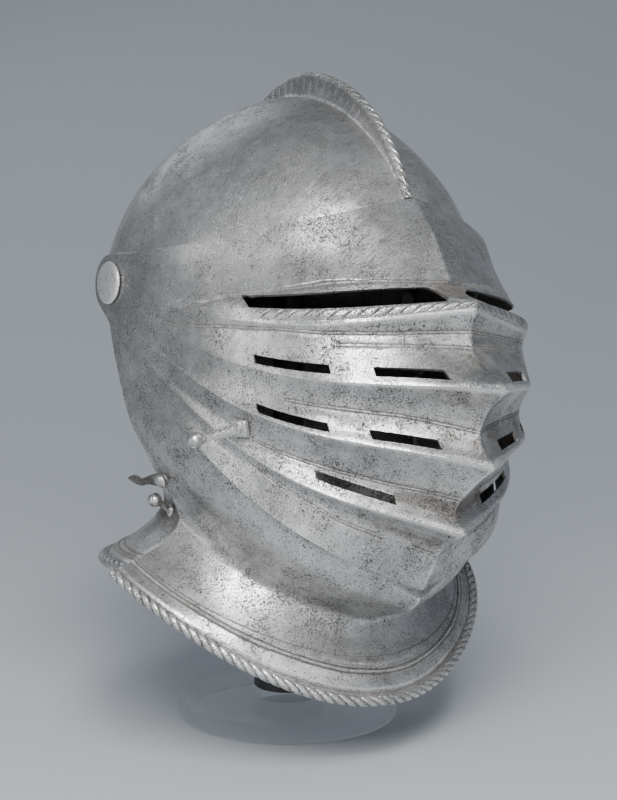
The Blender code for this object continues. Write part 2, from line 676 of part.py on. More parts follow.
def build_hook(bevor, group, cutters, parent, finish):
    """The flat neck hook and the rivet it turns on, filed flush inside the bevor where the skull slides past."""
    tree = surface_of(bevor)
    point, out = right_side(tree, HOOK_PLACE)
    out = (out + Vector((0, -HOOK_FLARE, 0))).normalized()
    foot = seated(tree, point, out, HOOK_WIDTH / 2)
    back = (Vector((0, 1, 0)) - out * out.y).normalized()
    frame = Matrix((back, out.cross(back), out)).transposed().to_4x4()
    frame = Matrix.Translation(foot) @ frame
    head = HOOK_THICKNESS + FIT * 2
    profile = [(r, h + head) for r, h in dome_profile(RIVET_RADIUS * RIVET_HEAD_SPREAD, RIVET_RADIUS, 3)]
    deep = (foot - point).length + WALL * 0.6
    profile += [(RIVET_RADIUS, head), (RIVET_RADIUS, -deep), (0, -deep)]
    turned("hook_rivet", profile, frame, group, parent, finish, 14)
    hole = cutter_bar("hook_rivet_hole", point, out, WALL * 8, RIVET_RADIUS + FIT, cutters, parent)
    boolean(bevor, hole, "DIFFERENCE")

    def plate(bm):
        outline = [(u * HOOK_LENGTH, v * HOOK_WIDTH) for u, v in HOOK_OUTLINE]
        face = bm.faces.new([bm.verts.new((x, y, 0)) for x, y in outline])
        made = bmesh.ops.extrude_face_region(bm, geom=[face])["geom"]
        corners = [item for item in made if isinstance(item, bmesh.types.BMVert)]
        bmesh.ops.translate(bm, vec=(0, 0, HOOK_THICKNESS), verts=corners)
        bmesh.ops.recalc_face_normals(bm, faces=bm.faces)

    hook = add_object("neck_hook", mesh_of("neck_hook", plate), group, parent, finish)
    hook.matrix_local = frame @ Matrix.Translation((0, 0, FIT))
    eye = cutter_bar("hook_eye", frame.translation, out, HOOK_THICKNESS * 5, RIVET_RADIUS + RUN, cutters, parent)
    boolean(hook, eye, "DIFFERENCE")


def build_stud(skull, group, cutters, parent, finish):
    """The ball-headed stud on the skull that the hook catches."""
    tree = surface_of(skull)
    point, out = right_side(tree, STUD_PLACE)
    lean = Vector(STUD_DIRECTION).normalized()
    foot = seated(tree, point, out, STUD_COLLAR_RADIUS)
    middle = foot + out * WALL / 2

    def collar(bm):
        round_bar(bm, WALL, STUD_COLLAR_RADIUS, Matrix.Translation(middle) @ along(out))

    def shank(bm):
        place = Matrix.Translation(middle + lean * STUD_LENGTH / 2) @ along(lean)
        round_bar(bm, STUD_LENGTH, RIVET_RADIUS, place, sides=10)

    def ball(bm):
        place = Matrix.Translation(middle + lean * STUD_LENGTH) @ along(lean)
        bmesh.ops.create_uvsphere(bm, u_segments=12, v_segments=8, radius=STUD_BALL_RADIUS, matrix=place)

    through = (foot - point).length + RIVET_HOLD

    def rivet(bm):
        round_bar(bm, through, RIVET_RADIUS, Matrix.Translation(middle - out * through / 2) @ along(out))

    stud = add_object("hook_stud", mesh_of("hook_stud", collar), group, parent, finish)
    for name, build in (("stud_shank", shank), ("stud_ball", ball), ("stud_rivet", rivet)):
        boolean(stud, form(name, build, cutters, parent), "UNION")
    hole = cutter_bar("stud_hole", middle, out, through * 3, RIVET_RADIUS + FIT, cutters, parent)
    boolean(skull, hole, "DIFFERENCE")


def build_stand(skull, group, clear, black):
    """The clear disc and column, and the black post with its collar and the pad that holds up the crown."""
    level = Matrix.Identity(4)
    round_rim = STAND_THICKNESS * STAND_ROUNDING
    corner = [(STAND_RADIUS - round_rim * (1 - math.sin(a)), -round_rim * (1 - math.cos(a)))
              for a in (math.pi / 2 * i / 4 for i in range(5))]
    profile = [(0, STAND_THICKNESS)] + [(r, STAND_THICKNESS + h) for r, h in corner]
    profile += [(r, -h) for r, h in reversed(corner)] + [(0, 0)]
    turned("stand_base", profile, level, group, None, clear, 32)

    foot = STAND_THICKNESS + FIT
    top = foot + COLUMN_HEIGHT
    profile = [(0, top), (COLUMN_RADIUS, top), (COLUMN_RADIUS, foot), (0, foot)]
    turned("stand_column", profile, level, group, None, clear, 24)

    foot = top + FIT
    tree = surface_of(skull)
    inside = skull.matrix_world.inverted()
    pad = dome_profile(POST_PAD_RADIUS, POST_PAD_RADIUS * PAD_DOME, 4)
    room = []
    for radius, height in pad:
        for i in range(POST_SIDES):
            turn = math.tau * i / POST_SIDES
            start = inside @ Vector((radius * math.cos(turn), radius * math.sin(turn), HINGE_HEIGHT))
            up = inside.to_3x3() @ Vector((0, 0, 1))
            _, _, _, distance = tree.ray_cast(start, up)
            room.append(HINGE_HEIGHT + distance - height)
    rim = min(room) - FIT * 2
    under = rim - POST_PAD_RADIUS * PAD_EDGE
    profile = [(r, rim + h) for r, h in pad]
    profile += [
        (POST_PAD_RADIUS, under), (POST_RADIUS, under - POST_RADIUS), (POST_RADIUS, foot + COLLAR_HEIGHT),
        (COLLAR_RADIUS, foot + COLLAR_HEIGHT), (COLLAR_RADIUS, foot), (0, foot),
    ]
    turned("stand_post", profile, level, group, None, black, POST_SIDES)


def main():
    """Clears the scene and builds every piece."""
    for thing in list(bpy.data.objects):
        bpy.data.objects.remove(thing)
    group = collection("close_helmet_on_stand")
    cutters = collection("cutters")
    steel = material("plate_steel", STEEL, 0.34, 1.0)
    fitting = material("fitting_steel", FITTING_STEEL, 0.3, 1.0)
    clear = material("clear_acrylic", CLEAR, 0.05, 0.0, 0.35)
    black = material("black_plastic", BLACK, 0.5, 0.0)
    pose = bpy.data.objects.new("helmet_pose", None)
    group.objects.link(pose)
    pose.location = (HINGE_SIDEWAYS, -HINGE_FORWARD, HINGE_HEIGHT)
    pose.rotation_euler = (0, LEAN, 0)
    skull = build_skull(group, cutters, pose, steel)
    visor = build_visor(group, cutters, pose, steel)
    bevor = build_bevor(group, cutters, pose, steel)
    for side, word in ((-1, "right"), (1, "left")):
        build_pivot(side, word, group, pose, fitting)
    build_peg(visor, group, cutters, pose, fitting)
    build_hook(bevor, group, cutters, pose, fitting)
    build_stud(skull, group, cutters, pose, fitting)
    build_stand(skull, group, clear, black)


main()
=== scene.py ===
"""Looks of the close helmet on its display stand: pitted steel plates, roped rims and the clear stand.

The helmet's pieces are worked out round the hinge line between its two pivots: reach is forward of that
line and height is above it. Each sub-assembly is a class with its sizes as fields, and main() builds them
in order.
"""

from __future__ import annotations

import json
import logging
import math
from dataclasses import dataclass
from enum import Enum
from typing import Iterable, Optional, Sequence, Union

import bmesh
import bpy
import numpy as np
from mathutils import Matrix, Vector, noise
from mathutils.bvhtree import BVHTree

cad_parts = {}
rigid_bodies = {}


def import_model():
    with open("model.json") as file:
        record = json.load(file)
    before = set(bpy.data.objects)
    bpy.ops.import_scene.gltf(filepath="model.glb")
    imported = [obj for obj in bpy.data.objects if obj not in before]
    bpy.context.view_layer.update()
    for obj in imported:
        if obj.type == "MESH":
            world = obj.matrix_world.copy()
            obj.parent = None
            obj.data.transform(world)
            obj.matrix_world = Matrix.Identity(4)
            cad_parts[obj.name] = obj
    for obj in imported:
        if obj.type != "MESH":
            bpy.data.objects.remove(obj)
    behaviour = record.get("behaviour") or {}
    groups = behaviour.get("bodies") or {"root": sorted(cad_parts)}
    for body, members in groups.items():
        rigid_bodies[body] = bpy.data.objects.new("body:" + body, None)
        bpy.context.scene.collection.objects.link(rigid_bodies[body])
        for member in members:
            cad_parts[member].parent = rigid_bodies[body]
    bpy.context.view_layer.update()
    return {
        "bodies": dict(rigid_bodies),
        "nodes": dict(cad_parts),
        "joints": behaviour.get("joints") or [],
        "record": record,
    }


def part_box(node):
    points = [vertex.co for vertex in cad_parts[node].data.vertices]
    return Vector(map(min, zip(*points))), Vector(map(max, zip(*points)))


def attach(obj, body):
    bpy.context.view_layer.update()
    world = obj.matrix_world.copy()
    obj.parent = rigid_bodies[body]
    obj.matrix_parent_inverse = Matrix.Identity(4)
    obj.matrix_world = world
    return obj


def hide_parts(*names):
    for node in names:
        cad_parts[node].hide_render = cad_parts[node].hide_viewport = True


log = logging.getLogger("close_helmet")

Array = np.ndarray
Colour = tuple[float, float, float]
Socket = bpy.types.NodeSocket

# Where the helmet stands in the frame
HINGE = (0.0045, 0.021, 0.2483)
LEAN = math.radians(5.5)
HELMET = Matrix.Translation(HINGE) @ Matrix.Rotation(LEAN, 4, "Y")

# Sizes that the helmet's plates share, in metres
VISOR_REACH = 0.215
FACE_DEPTH = 0.146
BROW_RISE = 0.059
VISOR_HALF_WIDTH = 0.1105
ARM_RADIUS = 0.0160
RIM_REACH = 0.134
RIM_DROP = 0.210
RIM_HALF_WIDTH = 0.122
WALL = 0.0016
PLATE_GAP = 0.0010
BEVOR_SINK = 0.016
BEVOR_HALF_WIDTH = VISOR_HALF_WIDTH - WALL - PLATE_GAP
SKULL_HALF_WIDTH = BEVOR_HALF_WIDTH - WALL - PLATE_GAP
FIT = 0.0003
RIVET_RADIUS = 0.0018
MM = 0.001

# What counts as nothing, and what turns points over to the helmet's other side
TINY = 1e-9
MIRROR = np.array([-1.0, 1.0, 1.0])

# The roped roll along the flange, the same in front and behind
RIM_ROLL_RADIUS = 0.0030
RIM_ROLL_DROP = 0.35        # how far its middle lies under the flange's edge, as a share of its radius
RIM_ROPE_PITCH = 6.4 * MM
RIM_ROPE_DEPTH = 0.34       # depth of a cut, as a share of the roll's radius
RIM_ROPE_SLANT = 3.0        # pitches that a cut runs on while it goes once round

# How keen edges are eased
CREASE_EASE = 0.22          # how far a line is drawn to its neighbours' middle
KEEL_EASE = 0.45            # how far the keel is drawn to the points beside it
KEEL_SIDE_EASE = 0.2        # how far the points beside the keel are drawn to their neighbours' middle

# A row is a line from the middle plane round to the pivot, a cubic with four guiding points.
# Columns: name, reach, flank_reach, cheek_reach, height, flank_height, cheek_height, arm
VISOR_ROWS = (
    ("brow_edge", 0.584, 0.595, 0.409, 0.404, 0.318, 0.165, 1.00),
    ("brow_middle", 0.679, 0.633, 0.484, 0.260, 0.208, 0.050, 0.74),
    ("sight_crease", 0.740, 0.688, 0.577, 0.137, 0.121, -0.051, 0.44),
    ("sight_top", 0.758, 0.707, 0.623, 0.086, 0.077, -0.055, 0.15),
    ("lip_top", 0.847, 0.730, 0.679, 0.058, 0.008, -0.087, 0.05),
    ("lip_bottom", 0.856, 0.740, 0.693, 0.027, -0.047, -0.147, -0.02),
    ("hollow_1_top", 0.842, 0.725, 0.679, -0.055, -0.065, -0.183, -0.08),
    ("hollow_1_low", 0.870, 0.727, 0.681, -0.144, -0.072, -0.258, -0.13),
    ("ridge_1", 1.000, 0.744, 0.707, -0.234, -0.231, -0.356, -0.18),
    ("hollow_2_top", 0.935, 0.727, 0.686, -0.308, -0.277, -0.425, -0.23),
    ("hollow_2_middle", 0.907, 0.721, 0.681, -0.390, -0.319, -0.479, -0.28),
    ("hollow_2_low", 0.930, 0.727, 0.686, -0.459, -0.363, -0.520, -0.33),
    ("ridge_2", 0.977, 0.744, 0.707, -0.509, -0.417, -0.548, -0.38),
    ("hollow_3_top", 0.902, 0.714, 0.679, -0.589, -0.466, -0.568, -0.45),
    ("hollow_3_low", 0.840, 0.684, 0.656, -0.695, -0.541, -0.603, -0.52),
    ("ridge_3", 0.886, 0.700, 0.674, -0.765, -0.657, -0.664, -0.59),
    ("hollow_4", 0.807, 0.684, 0.656, -0.832, -0.671, -0.699, -0.66),
    ("chin", 0.772, 0.690, 0.651, -0.925, -0.740, -0.740, -0.74),
    ("visor_edge", 0.740, 0.688, 0.647, -1.000, -0.856, -0.788, -0.81),
)
VISOR_NAMES = [row[0] for row in VISOR_ROWS]
VISOR_FLANK_WIDTH = 0.54

# Columns: name, reach, flank, cheek, end; flank_width, cheek_width, end_width; height, flank, cheek, end
BEVOR_ROWS = (
    ("jaw", 1.176, 1.060, 0.970, 0.000, 0.470, 0.850, 0.852, -0.724, -0.623, -0.474, -0.190),
    ("jaw_low", 1.120, 1.010, 0.900, 0.090, 0.440, 0.790, 0.803, -0.757, -0.689, -0.580, -0.357),
    ("under_chin", 0.990, 0.920, 0.800, 0.187, 0.390, 0.690, 0.721, -0.786, -0.740, -0.636, -0.476),
    ("waist", 0.880, 0.850, 0.680, 0.321, 0.330, 0.600, 0.664, -0.810, -0.785, -0.702, -0.590),
    ("flare", 0.885, 0.860, 0.690, 0.336, 0.340, 0.660, 0.721, -0.857, -0.837, -0.752, -0.645),
    ("band_top", 0.918, 0.903, 0.709, 0.343, 0.344, 0.721, 0.828, -0.898, -0.883, -0.795, -0.684),
    ("band_step", 0.970, 0.940, 0.690, 0.343, 0.400, 0.820, 0.910, -0.931, -0.918, -0.822, -0.705),
    ("rim", 1.000, 0.970, 0.672, 0.336, 0.450, 0.918, 1.000, -1.000, -1.019, -0.819, -0.724),
)

# The back of the skull below the bowl, each row half an oval.
# Columns: name, width, forward, depth, side, behind
NAPE_ROWS = (
    ("ear", 0.829, 0.09, 0.880, -0.190, -0.190),
    ("jaw", 0.771, 0.24, 0.976, -0.357, -0.345),
    ("nape", 0.689, 0.37, 1.030, -0.476, -0.455),
    ("waist", 0.634, 0.47, 1.000, -0.580, -0.560),
    ("flare", 0.682, 0.47, 1.030, -0.640, -0.620),
    ("band_top", 0.786, 0.46, 1.080, -0.680, -0.675),
    ("band_step", 0.865, 0.45, 1.140, -0.702, -0.710),
    ("rim", 0.925, 0.45, 1.184, -0.722, -0.745),
)
NAPE_FRONT = 0.35           # how far a row runs forward of its oval's middle, as a share of RIM_REACH
NAPE_FALL = 0.46            # how steeply it falls there
NAPE_TAPER = 1.3            # how soon it narrows towards the back, as a power
NAPE_LIFT = 1.5             # how late its height changes towards the back, as a power


class Body(Enum):
    """The frame's bodies."""

    SKULL = "skull_and_stand"
    BEVOR = "bevor_body"
    VISOR = "visor_body"
    HOOK = "hook_body"


class Slot(Enum):
    """The record's material slots."""

    PLATE = "plate_steel"
    FITTING = "fitting_steel"
    CLEAR = "clear_acrylic"
    BLACK = "black_plastic"


def smooth_step(low: float, high: float, value: Array) -> Array:
    """0 up to low, 1 from high on, and smooth between."""
    share = np.clip((value - low) / (high - low), 0.0, 1.0)
    return share * share * (3.0 - 2.0 * share)


def unit(vectors: Array) -> Array:
    """Vectors along the last axis, each made one long."""
    return vectors / np.maximum(np.linalg.norm(vectors, axis=-1, keepdims=True), TINY * MM)


def rope(turns: Array, width: float = 0.11) -> Array:
    """How deep the oblique cuts of a roped edge are: 1 in the middle of a cut and 0 between cuts.

    Args:
        turns: place along the edge in pitches, with any slant added.
        width: half width of a cut as a share of the pitch.

    Returns:
        The depth share at each place.
    """
    near = np.abs(turns - np.round(turns))
    return np.exp(-((near / width) ** 2))


def cubic(guides: Array, t: Array) -> Array:
    """Points on the cubics through rows of four guiding points.

    Args:
        guides: guiding points, shaped (rows, 4, 3).
        t: places along each row, from 0 to 1.

    Returns:
        Points shaped (rows, places, 3).
    """
    weights = np.stack([(1 - t) ** 3, 3 * t * (1 - t) ** 2, 3 * t * t * (1 - t), t ** 3])
    return np.einsum("rkc,kt->rtc", guides, weights)


def arm_reach(height: float) -> float:
    """How far behind the hinge line the arm's round end lies at a height."""
    return -math.sqrt(max(ARM_RADIUS ** 2 - height ** 2, 0.0))


def guide_points(widths: Sequence[float], reaches: Sequence[float], heights: Sequence[float]) -> Array:
    """Four guiding points of a row, from their sideways places, reaches and heights."""
    return np.array([[w, -r, h] for w, r, h in zip(widths, reaches, heights)])


def visor_guides() -> Array:
    """The visor's rows as guiding points, shaped (rows, 4, 3)."""
    made = []
    for _, reach, flank, cheek, height, flank_height, cheek_height, arm in VISOR_ROWS:
        end = arm * ARM_RADIUS
        reaches = [share * VISOR_REACH for share in (reach, flank, cheek)] + [arm_reach(end)]
        widths = [share * VISOR_HALF_WIDTH for share in (0, VISOR_FLANK_WIDTH, 1, 1)]
        heights = [share * FACE_DEPTH for share in (height, flank_height, cheek_height)] + [end]
        made.append(guide_points(widths, reaches, heights))
    made[0][0][2] = BROW_RISE
    return np.array(made)


def bevor_guides() -> Array:
    """The bevor's rows as guiding points: three behind the visor's lowest rows, then the jaw and neck."""
    visor = visor_guides()
    inset = WALL + PLATE_GAP
    made = []
    for name, sink, end in (
        ("hollow_3_low", inset + BEVOR_SINK, ARM_RADIUS),
        ("hollow_4", inset + BEVOR_SINK * 0.4, 0.0),
        ("visor_edge", inset, -ARM_RADIUS * 0.95),
    ):
        row = visor[VISOR_NAMES.index(name)].copy()
        row[:3, 1] += sink
        row[1, 0] -= sink
        row[2:, 0] = BEVOR_HALF_WIDTH
        row[3, 1:] = (-arm_reach(end), end)
        made.append(row)
    for row in BEVOR_ROWS:
        reaches = [share * RIM_REACH for share in row[1:5]]
        widths = [0.0] + [share * RIM_HALF_WIDTH for share in row[5:8]]
        heights = [share * RIM_DROP for share in row[8:12]]
        made.append(guide_points(widths, reaches, heights))
    return np.array(made)


class Surface:
    """A smooth surface over rows of points, with creases where rows are sharp."""

    def __init__(self, rows: Array, sharp: Iterable[int], crease: Array) -> None:
        """Works out how the surface leaves and meets each row.

        Args:
            rows: points shaped (rows, places, 3).
            sharp: numbers of the rows that are creases.
            crease: how much of each crease is left at each place, 1 for all of it.
        """
        self.rows = rows
        count = len(rows)
        chords = rows[1:] - rows[:-1]
        lengths = np.maximum(np.linalg.norm(chords, axis=2, keepdims=True), 1e-6)
        straight = chords / lengths
        smooth = np.empty_like(rows)
        smooth[0], smooth[-1] = straight[0], straight[-1]
        smooth[1:-1] = (rows[2:] - rows[:-2]) / (lengths[1:] + lengths[:-1])
        keen = np.zeros((count, 1, 1))
        for number in sharp:
            keen[number] = 1.0
        keen = keen * crease[None, :, None]
        self.leave = (smooth[:-1] * (1 - keen[:-1]) + straight * keen[:-1]) * lengths
        self.meet = (smooth[1:] * (1 - keen[1:]) + straight * keen[1:]) * lengths
        self.lengths = lengths[:, :, 0]

    def at(self, v: Array) -> Array:
        """Points of the surface.

        Args:
            v: row numbers with fractions, shaped (lines, places).

        Returns:
            Points shaped (lines, places, 3).
        """
        band = np.clip(np.floor(v).astype(int), 0, len(self.rows) - 2)
        f = (v - band)[:, :, None]
        place = np.arange(v.shape[1])[None, :]
        start, end = self.rows[band, place], self.rows[band + 1, place]
        leave, meet = self.leave[band, place], self.meet[band, place]
        return (
            (2 * f ** 3 - 3 * f ** 2 + 1) * start + (f ** 3 - 2 * f ** 2 + f) * leave
            + (3 * f ** 2 - 2 * f ** 3) * end + (f ** 3 - f ** 2) * meet
        )

    def length_at(self, v: Array) -> Array:
        """Length of one row number, in metres, near each place; v is shaped (places,)."""
        band = np.clip(np.floor(v).astype(int), 0, len(self.rows) - 2)
        return self.lengths[band, np.arange(len(v))]


@dataclass(frozen=True)
class Pierced:
    """A slot through a plate: where it lies between rows, its ends along them and its upright height.

    A height of zero makes it as tall as the band that it lies in, drawn to a point at its inner end.
    """

    name: str
    middle: float
    start: float
    end: float
    height: float


@dataclass(frozen=True)
class Engraved:
    """A pair of cut lines along a plate: places along the rows, and row numbers with fractions there."""

    name: str
    places: tuple[float, ...]
    rows: tuple[float, ...]
    gap: float = 1.5 * MM


class Plate:
    """A sheet of steel laid out as a grid of lines, with its slots and cut lines in the grid."""

    line_step = 1.9 * MM
    cut_width = 0.7 * MM
    cut_depth = 0.45 * MM
    cut_run_out = 0.02          # how far along the rows a cut line takes to reach its depth
    probe = 0.1                 # how far above and below a slot's middle its slope is measured, in rows
    least_drop = 0.1 * MM
    band_half = 0.58            # half the height of a slot that fills its band, in rows
    point_from, point_to = -0.025, 0.035
    slot_run_out = 0.04         # how far past a slot's ends its lines close again
    closing = 0.9

    def __init__(self, guides: Array, places: Array, sharp: Iterable[int],
                 fade: tuple[float, float]) -> None:
        """Lays the surface out.

        Args:
            guides: guiding points of the rows.
            places: places of the grid's columns along the rows, from 0 to 1.
            sharp: numbers of the rows that are creases.
            fade: places between which the creases fade out.
        """
        self.t = places
        creases = sorted(set(sharp))
        self.surface = Surface(cubic(guides, places), creases, 1 - smooth_step(*fade, places))
        rows = [0, *creases, len(guides) - 1]
        self.marks: list[Array] = [np.full(len(places), float(row)) for row in rows]
        self.slots: list[tuple[Pierced, Array, Array]] = []
        self.cuts: list[tuple[Array, Array]] = []

    def pierce(self, slot: Pierced) -> None:
        """Adds a slot's upper and lower lines."""
        middle = np.full(len(self.t), slot.middle)
        if slot.height:
            near = self.surface.at(np.stack([middle - self.probe, middle + self.probe]))
            drop = np.maximum(np.abs(near[1, :, 2] - near[0, :, 2]), self.least_drop)
            half = slot.height / 2 * (2 * self.probe) / drop
        else:
            half = self.band_half * smooth_step(self.point_from, self.point_to, self.t - slot.start)
        outside = np.maximum(slot.start - self.t, self.t - slot.end)
        half = np.minimum(half, self.band_half)
        half = half * (1 - self.closing * smooth_step(0.0, self.slot_run_out, outside))
        upper, lower = middle - half, middle + half
        self.marks += [upper, lower]
        self.slots.append((slot, upper, lower))

    def engrave(self, pair: Engraved) -> None:
        """Adds a pair of cut lines, each of them a narrow V, or one line where the gap is zero."""
        middle = np.interp(self.t, pair.places, pair.rows)
        length = self.surface.length_at(middle)
        first, last = pair.places[0], pair.places[-1]
        shown = np.ones(len(self.t))
        if first > 0:
            shown = smooth_step(0, self.cut_run_out, self.t - first)
        if last < 1:
            shown = shown * (1 - smooth_step(last - self.cut_run_out, last, self.t))
        for offset in sorted({-pair.gap / 2, pair.gap / 2}):
            line = middle + offset / length
            half = self.cut_width / 2 / length
            self.marks += [line - half, line, line + half]
            self.cuts.append((line, shown))

    def lines(self) -> Array:
        """Row numbers of the grid's lines, shaped (lines, places), from the top of the plate down."""
        marks = np.sort(np.array(self.marks), axis=0)
        made = [marks[0]]
        for upper, lower in zip(marks, marks[1:]):
            if np.max(lower - upper) < TINY:
                continue
            spans = np.abs(lower - upper) * self.surface.length_at((upper + lower) / 2)
            parts = max(1, int(round(float(np.percentile(spans, 80)) / self.line_step)))
            for i in range(1, parts + 1):
                made.append(upper + (lower - upper) * i / parts)
        return np.array(made)

    def shape(self) -> tuple[Array, Array]:
        """Points of one half, shaped (lines, places, 3), and which of its faces are kept."""
        v = self.lines()
        points = self.surface.at(v)
        out = outward(points)
        for line, shown in self.cuts:
            near = np.abs(v - line[None, :]) < TINY * 100
            points -= out * (near * shown[None, :] * self.cut_depth)[:, :, None]
        kept = np.ones((len(v) - 1, len(self.t) - 1), bool)
        middle_v = (v[1:, 1:] + v[:-1, 1:] + v[1:, :-1] + v[:-1, :-1]) / 4
        middle_t = (self.t[1:] + self.t[:-1]) / 2
        for slot, upper, lower in self.slots:
            high = (upper[1:] + upper[:-1]) / 2
            low = (lower[1:] + lower[:-1]) / 2
            inside = (middle_v > high[None, :]) & (middle_v < low[None, :])
            kept &= ~(inside & ((middle_t > slot.start) & (middle_t < slot.end))[None, :])
        return points, kept


def outward(points: Array) -> Array:
    """The way out of a grid of points at each of them; lines run down and places towards +X."""
    across = np.gradient(points, axis=1)
    down = np.gradient(points, axis=0)
    return unit(np.cross(down, across))


def both_halves(points: Array, kept: Array) -> tuple[Array, Array]:
    """A grid over the whole helmet from its left half's, whose first column is the middle plane."""
    other = points[:, :0:-1] * MIRROR
    return np.concatenate([other, points], axis=1), np.concatenate([kept[:, ::-1], kept], axis=1)


def grid_quads(lines: int, places: int, kept: Optional[Array] = None, around: bool = False) -> Array:
    """Faces of a grid of points.

    Args:
        lines: number of lines.
        places: number of points on each line.
        kept: which faces to keep, if not all.
        around: True to join each line's last point to its first.

    Returns:
        Point numbers of the faces, shaped (faces, 4).
    """
    index = np.arange(lines * places).reshape(lines, places)
    if around:
        index = np.concatenate([index, index[:, :1]], axis=1)
    quads = np.stack([index[:-1, :-1], index[1:, :-1], index[1:, 1:], index[:-1, 1:]], axis=-1)
    return quads[kept] if kept is not None else quads.reshape(-1, 4)


def uneven(points: Array, amount: float, size: float, seed: float) -> Array:
    """Heights of hammered unevenness at points, in metres.

    Args:
        points: points shaped (..., 3).
        amount: greatest height, roughly.
        size: width of one swell.
        seed: moves the pattern, so that pieces differ.

    Returns:
        Heights shaped like the points without their last axis.
    """
    small_size, small_share = 2.3, 0.4
    flat = points.reshape(-1, 3) / size + seed
    heights = [noise.noise(Vector(p)) + small_share * noise.noise(Vector(p * small_size)) for p in flat]
    return np.array(heights).reshape(points.shape[:-1]) * amount


def mesh_object(name: str, points: Array, faces: Sequence[Sequence[int]],
                sharp: float = 32.0) -> bpy.types.Object:
    """A smooth-shaded object in the helmet's place, from points worked out round the hinge line.

    Args:
        name: name of the piece.
        points: points shaped (..., 3).
        faces: point numbers of each face.
        sharp: degrees between faces from which an edge is shown sharp.

    Returns:
        The object, at the frame's origin.
    """
    mesh = bpy.data.meshes.new(name)
    mesh.from_pydata(points.reshape(-1, 3).tolist(), [], [list(map(int, face)) for face in faces])
    mesh.transform(HELMET)
    return finished(name, mesh, sharp)


def finished(name: str, mesh: bpy.types.Mesh, sharp: float = 32.0) -> bpy.types.Object:
    """Cleans a mesh, shades it and links it as an object."""
    bm = bmesh.new()
    bm.from_mesh(mesh)
    bmesh.ops.remove_doubles(bm, verts=bm.verts, dist=0.000002)
    loose = [vert for vert in bm.verts if not vert.link_faces]
    bmesh.ops.delete(bm, geom=loose, context="VERTS")
    bm.to_mesh(mesh)
    bm.free()
    mesh.shade_smooth()
    mesh.set_sharp_from_angle(angle=math.radians(sharp))
    made = bpy.data.objects.new(name, mesh)
    bpy.context.scene.collection.objects.link(made)
    return made


def apply_modifiers(piece: bpy.types.Object, sharp: float = 32.0) -> None:
    """Puts the result of a piece's modifiers into its mesh and shades that."""
    depsgraph = bpy.context.evaluated_depsgraph_get()
    mesh = bpy.data.meshes.new_from_object(piece.evaluated_get(depsgraph))
    piece.modifiers.clear()
    old = piece.data
    piece.data = mesh
    bpy.data.meshes.remove(old)
    mesh.name = piece.name
    mesh.shade_smooth()
    mesh.set_sharp_from_angle(angle=math.radians(sharp))


def thicken(piece: bpy.types.Object, wall: float = WALL) -> None:
    """Gives a marked plate its wall, inside the modelled face, and marks the inside as a recess, so that it
    gets painted shade.
    """
    made = piece.modifiers.new("Wall", "SOLIDIFY")
    made.thickness = wall
    made.offset = -1
    apply_modifiers(piece)
    layer = piece.data.attributes["relief"]
    relief = np.empty(len(piece.data.vertices), dtype=np.float32)
    layer.data.foreach_get("value", relief)
    # painted shade: the inner side counts as a deep recess, which darkens the inside and the rim walls like
    # the shadow in the gap between plates
    relief[len(relief) // 2:] = -1
    layer.data.foreach_set("value", relief)


def mark_relief(piece: bpy.types.Object, passes: int = 8, full: float = 0.35 * MM) -> None:
    """Stores how far each point stands out of its surroundings: 1 on ridges, -1 in recesses; from it the
    steel gets rubbed wear with a painted highlight on ridges, and dirt with painted shade in recesses.

    Args:
        piece: piece whose mesh gets the point attribute "relief".
        passes: how far round a point its surroundings reach.
        full: height at which the mark is 1.
    """
    mesh = piece.data
    count = len(mesh.vertices)
    points = np.empty(count * 3, dtype=np.float32)
    mesh.vertices.foreach_get("co", points)
    points = points.reshape(-1, 3).astype(float)
    normals = np.empty(count * 3, dtype=np.float32)
    mesh.vertex_normals.foreach_get("vector", normals)
    ends = np.empty(len(mesh.edges) * 2, dtype=np.int32)
    mesh.edges.foreach_get("vertices", ends)
    one, two = ends.reshape(-1, 2).T
    beside = np.maximum(np.bincount(one, minlength=count) + np.bincount(two, minlength=count), 1)

    def gathered(values: Array) -> Array:
        """The sum over each point's neighbours."""
        ahead = np.bincount(one, values[two], minlength=count)
        return ahead + np.bincount(two, values[one], minlength=count)

    level = points.copy()
    for _ in range(passes):
        near = np.stack([gathered(level[:, axis]) / beside for axis in range(3)], axis=1)
        level = (level + near) / 2
    relief = np.einsum("ij,ij->i", points - level, normals.reshape(-1, 3)) / full
    # points beside deep recesses get at least this much painted shade and dirt
    shade_and_dirt_floor = -0.5
    beside_deep = gathered(relief < shade_and_dirt_floor) > 0
    relief[beside_deep] = np.minimum(relief[beside_deep], shade_and_dirt_floor)
    layer = mesh.attributes.new("relief", "FLOAT", "POINT")
    layer.data.foreach_set("value", np.clip(relief, -1, 1).astype(np.float32))


def run_along(path: Array) -> Array:
    """Each point's distance along a path."""
    return np.concatenate([[0.0], np.cumsum(np.linalg.norm(np.diff(path, axis=0), axis=1))])


def resample(path: Array, step: float) -> tuple[Array, Array]:
    """A path with points at even distances, and each point's distance along it."""
    run = run_along(path)
    count = max(2, int(round(run[-1] / step)))
    marks = np.linspace(0, run[-1], count + 1)
    return np.stack([np.interp(marks, run, path[:, axis]) for axis in range(3)], axis=1), marks


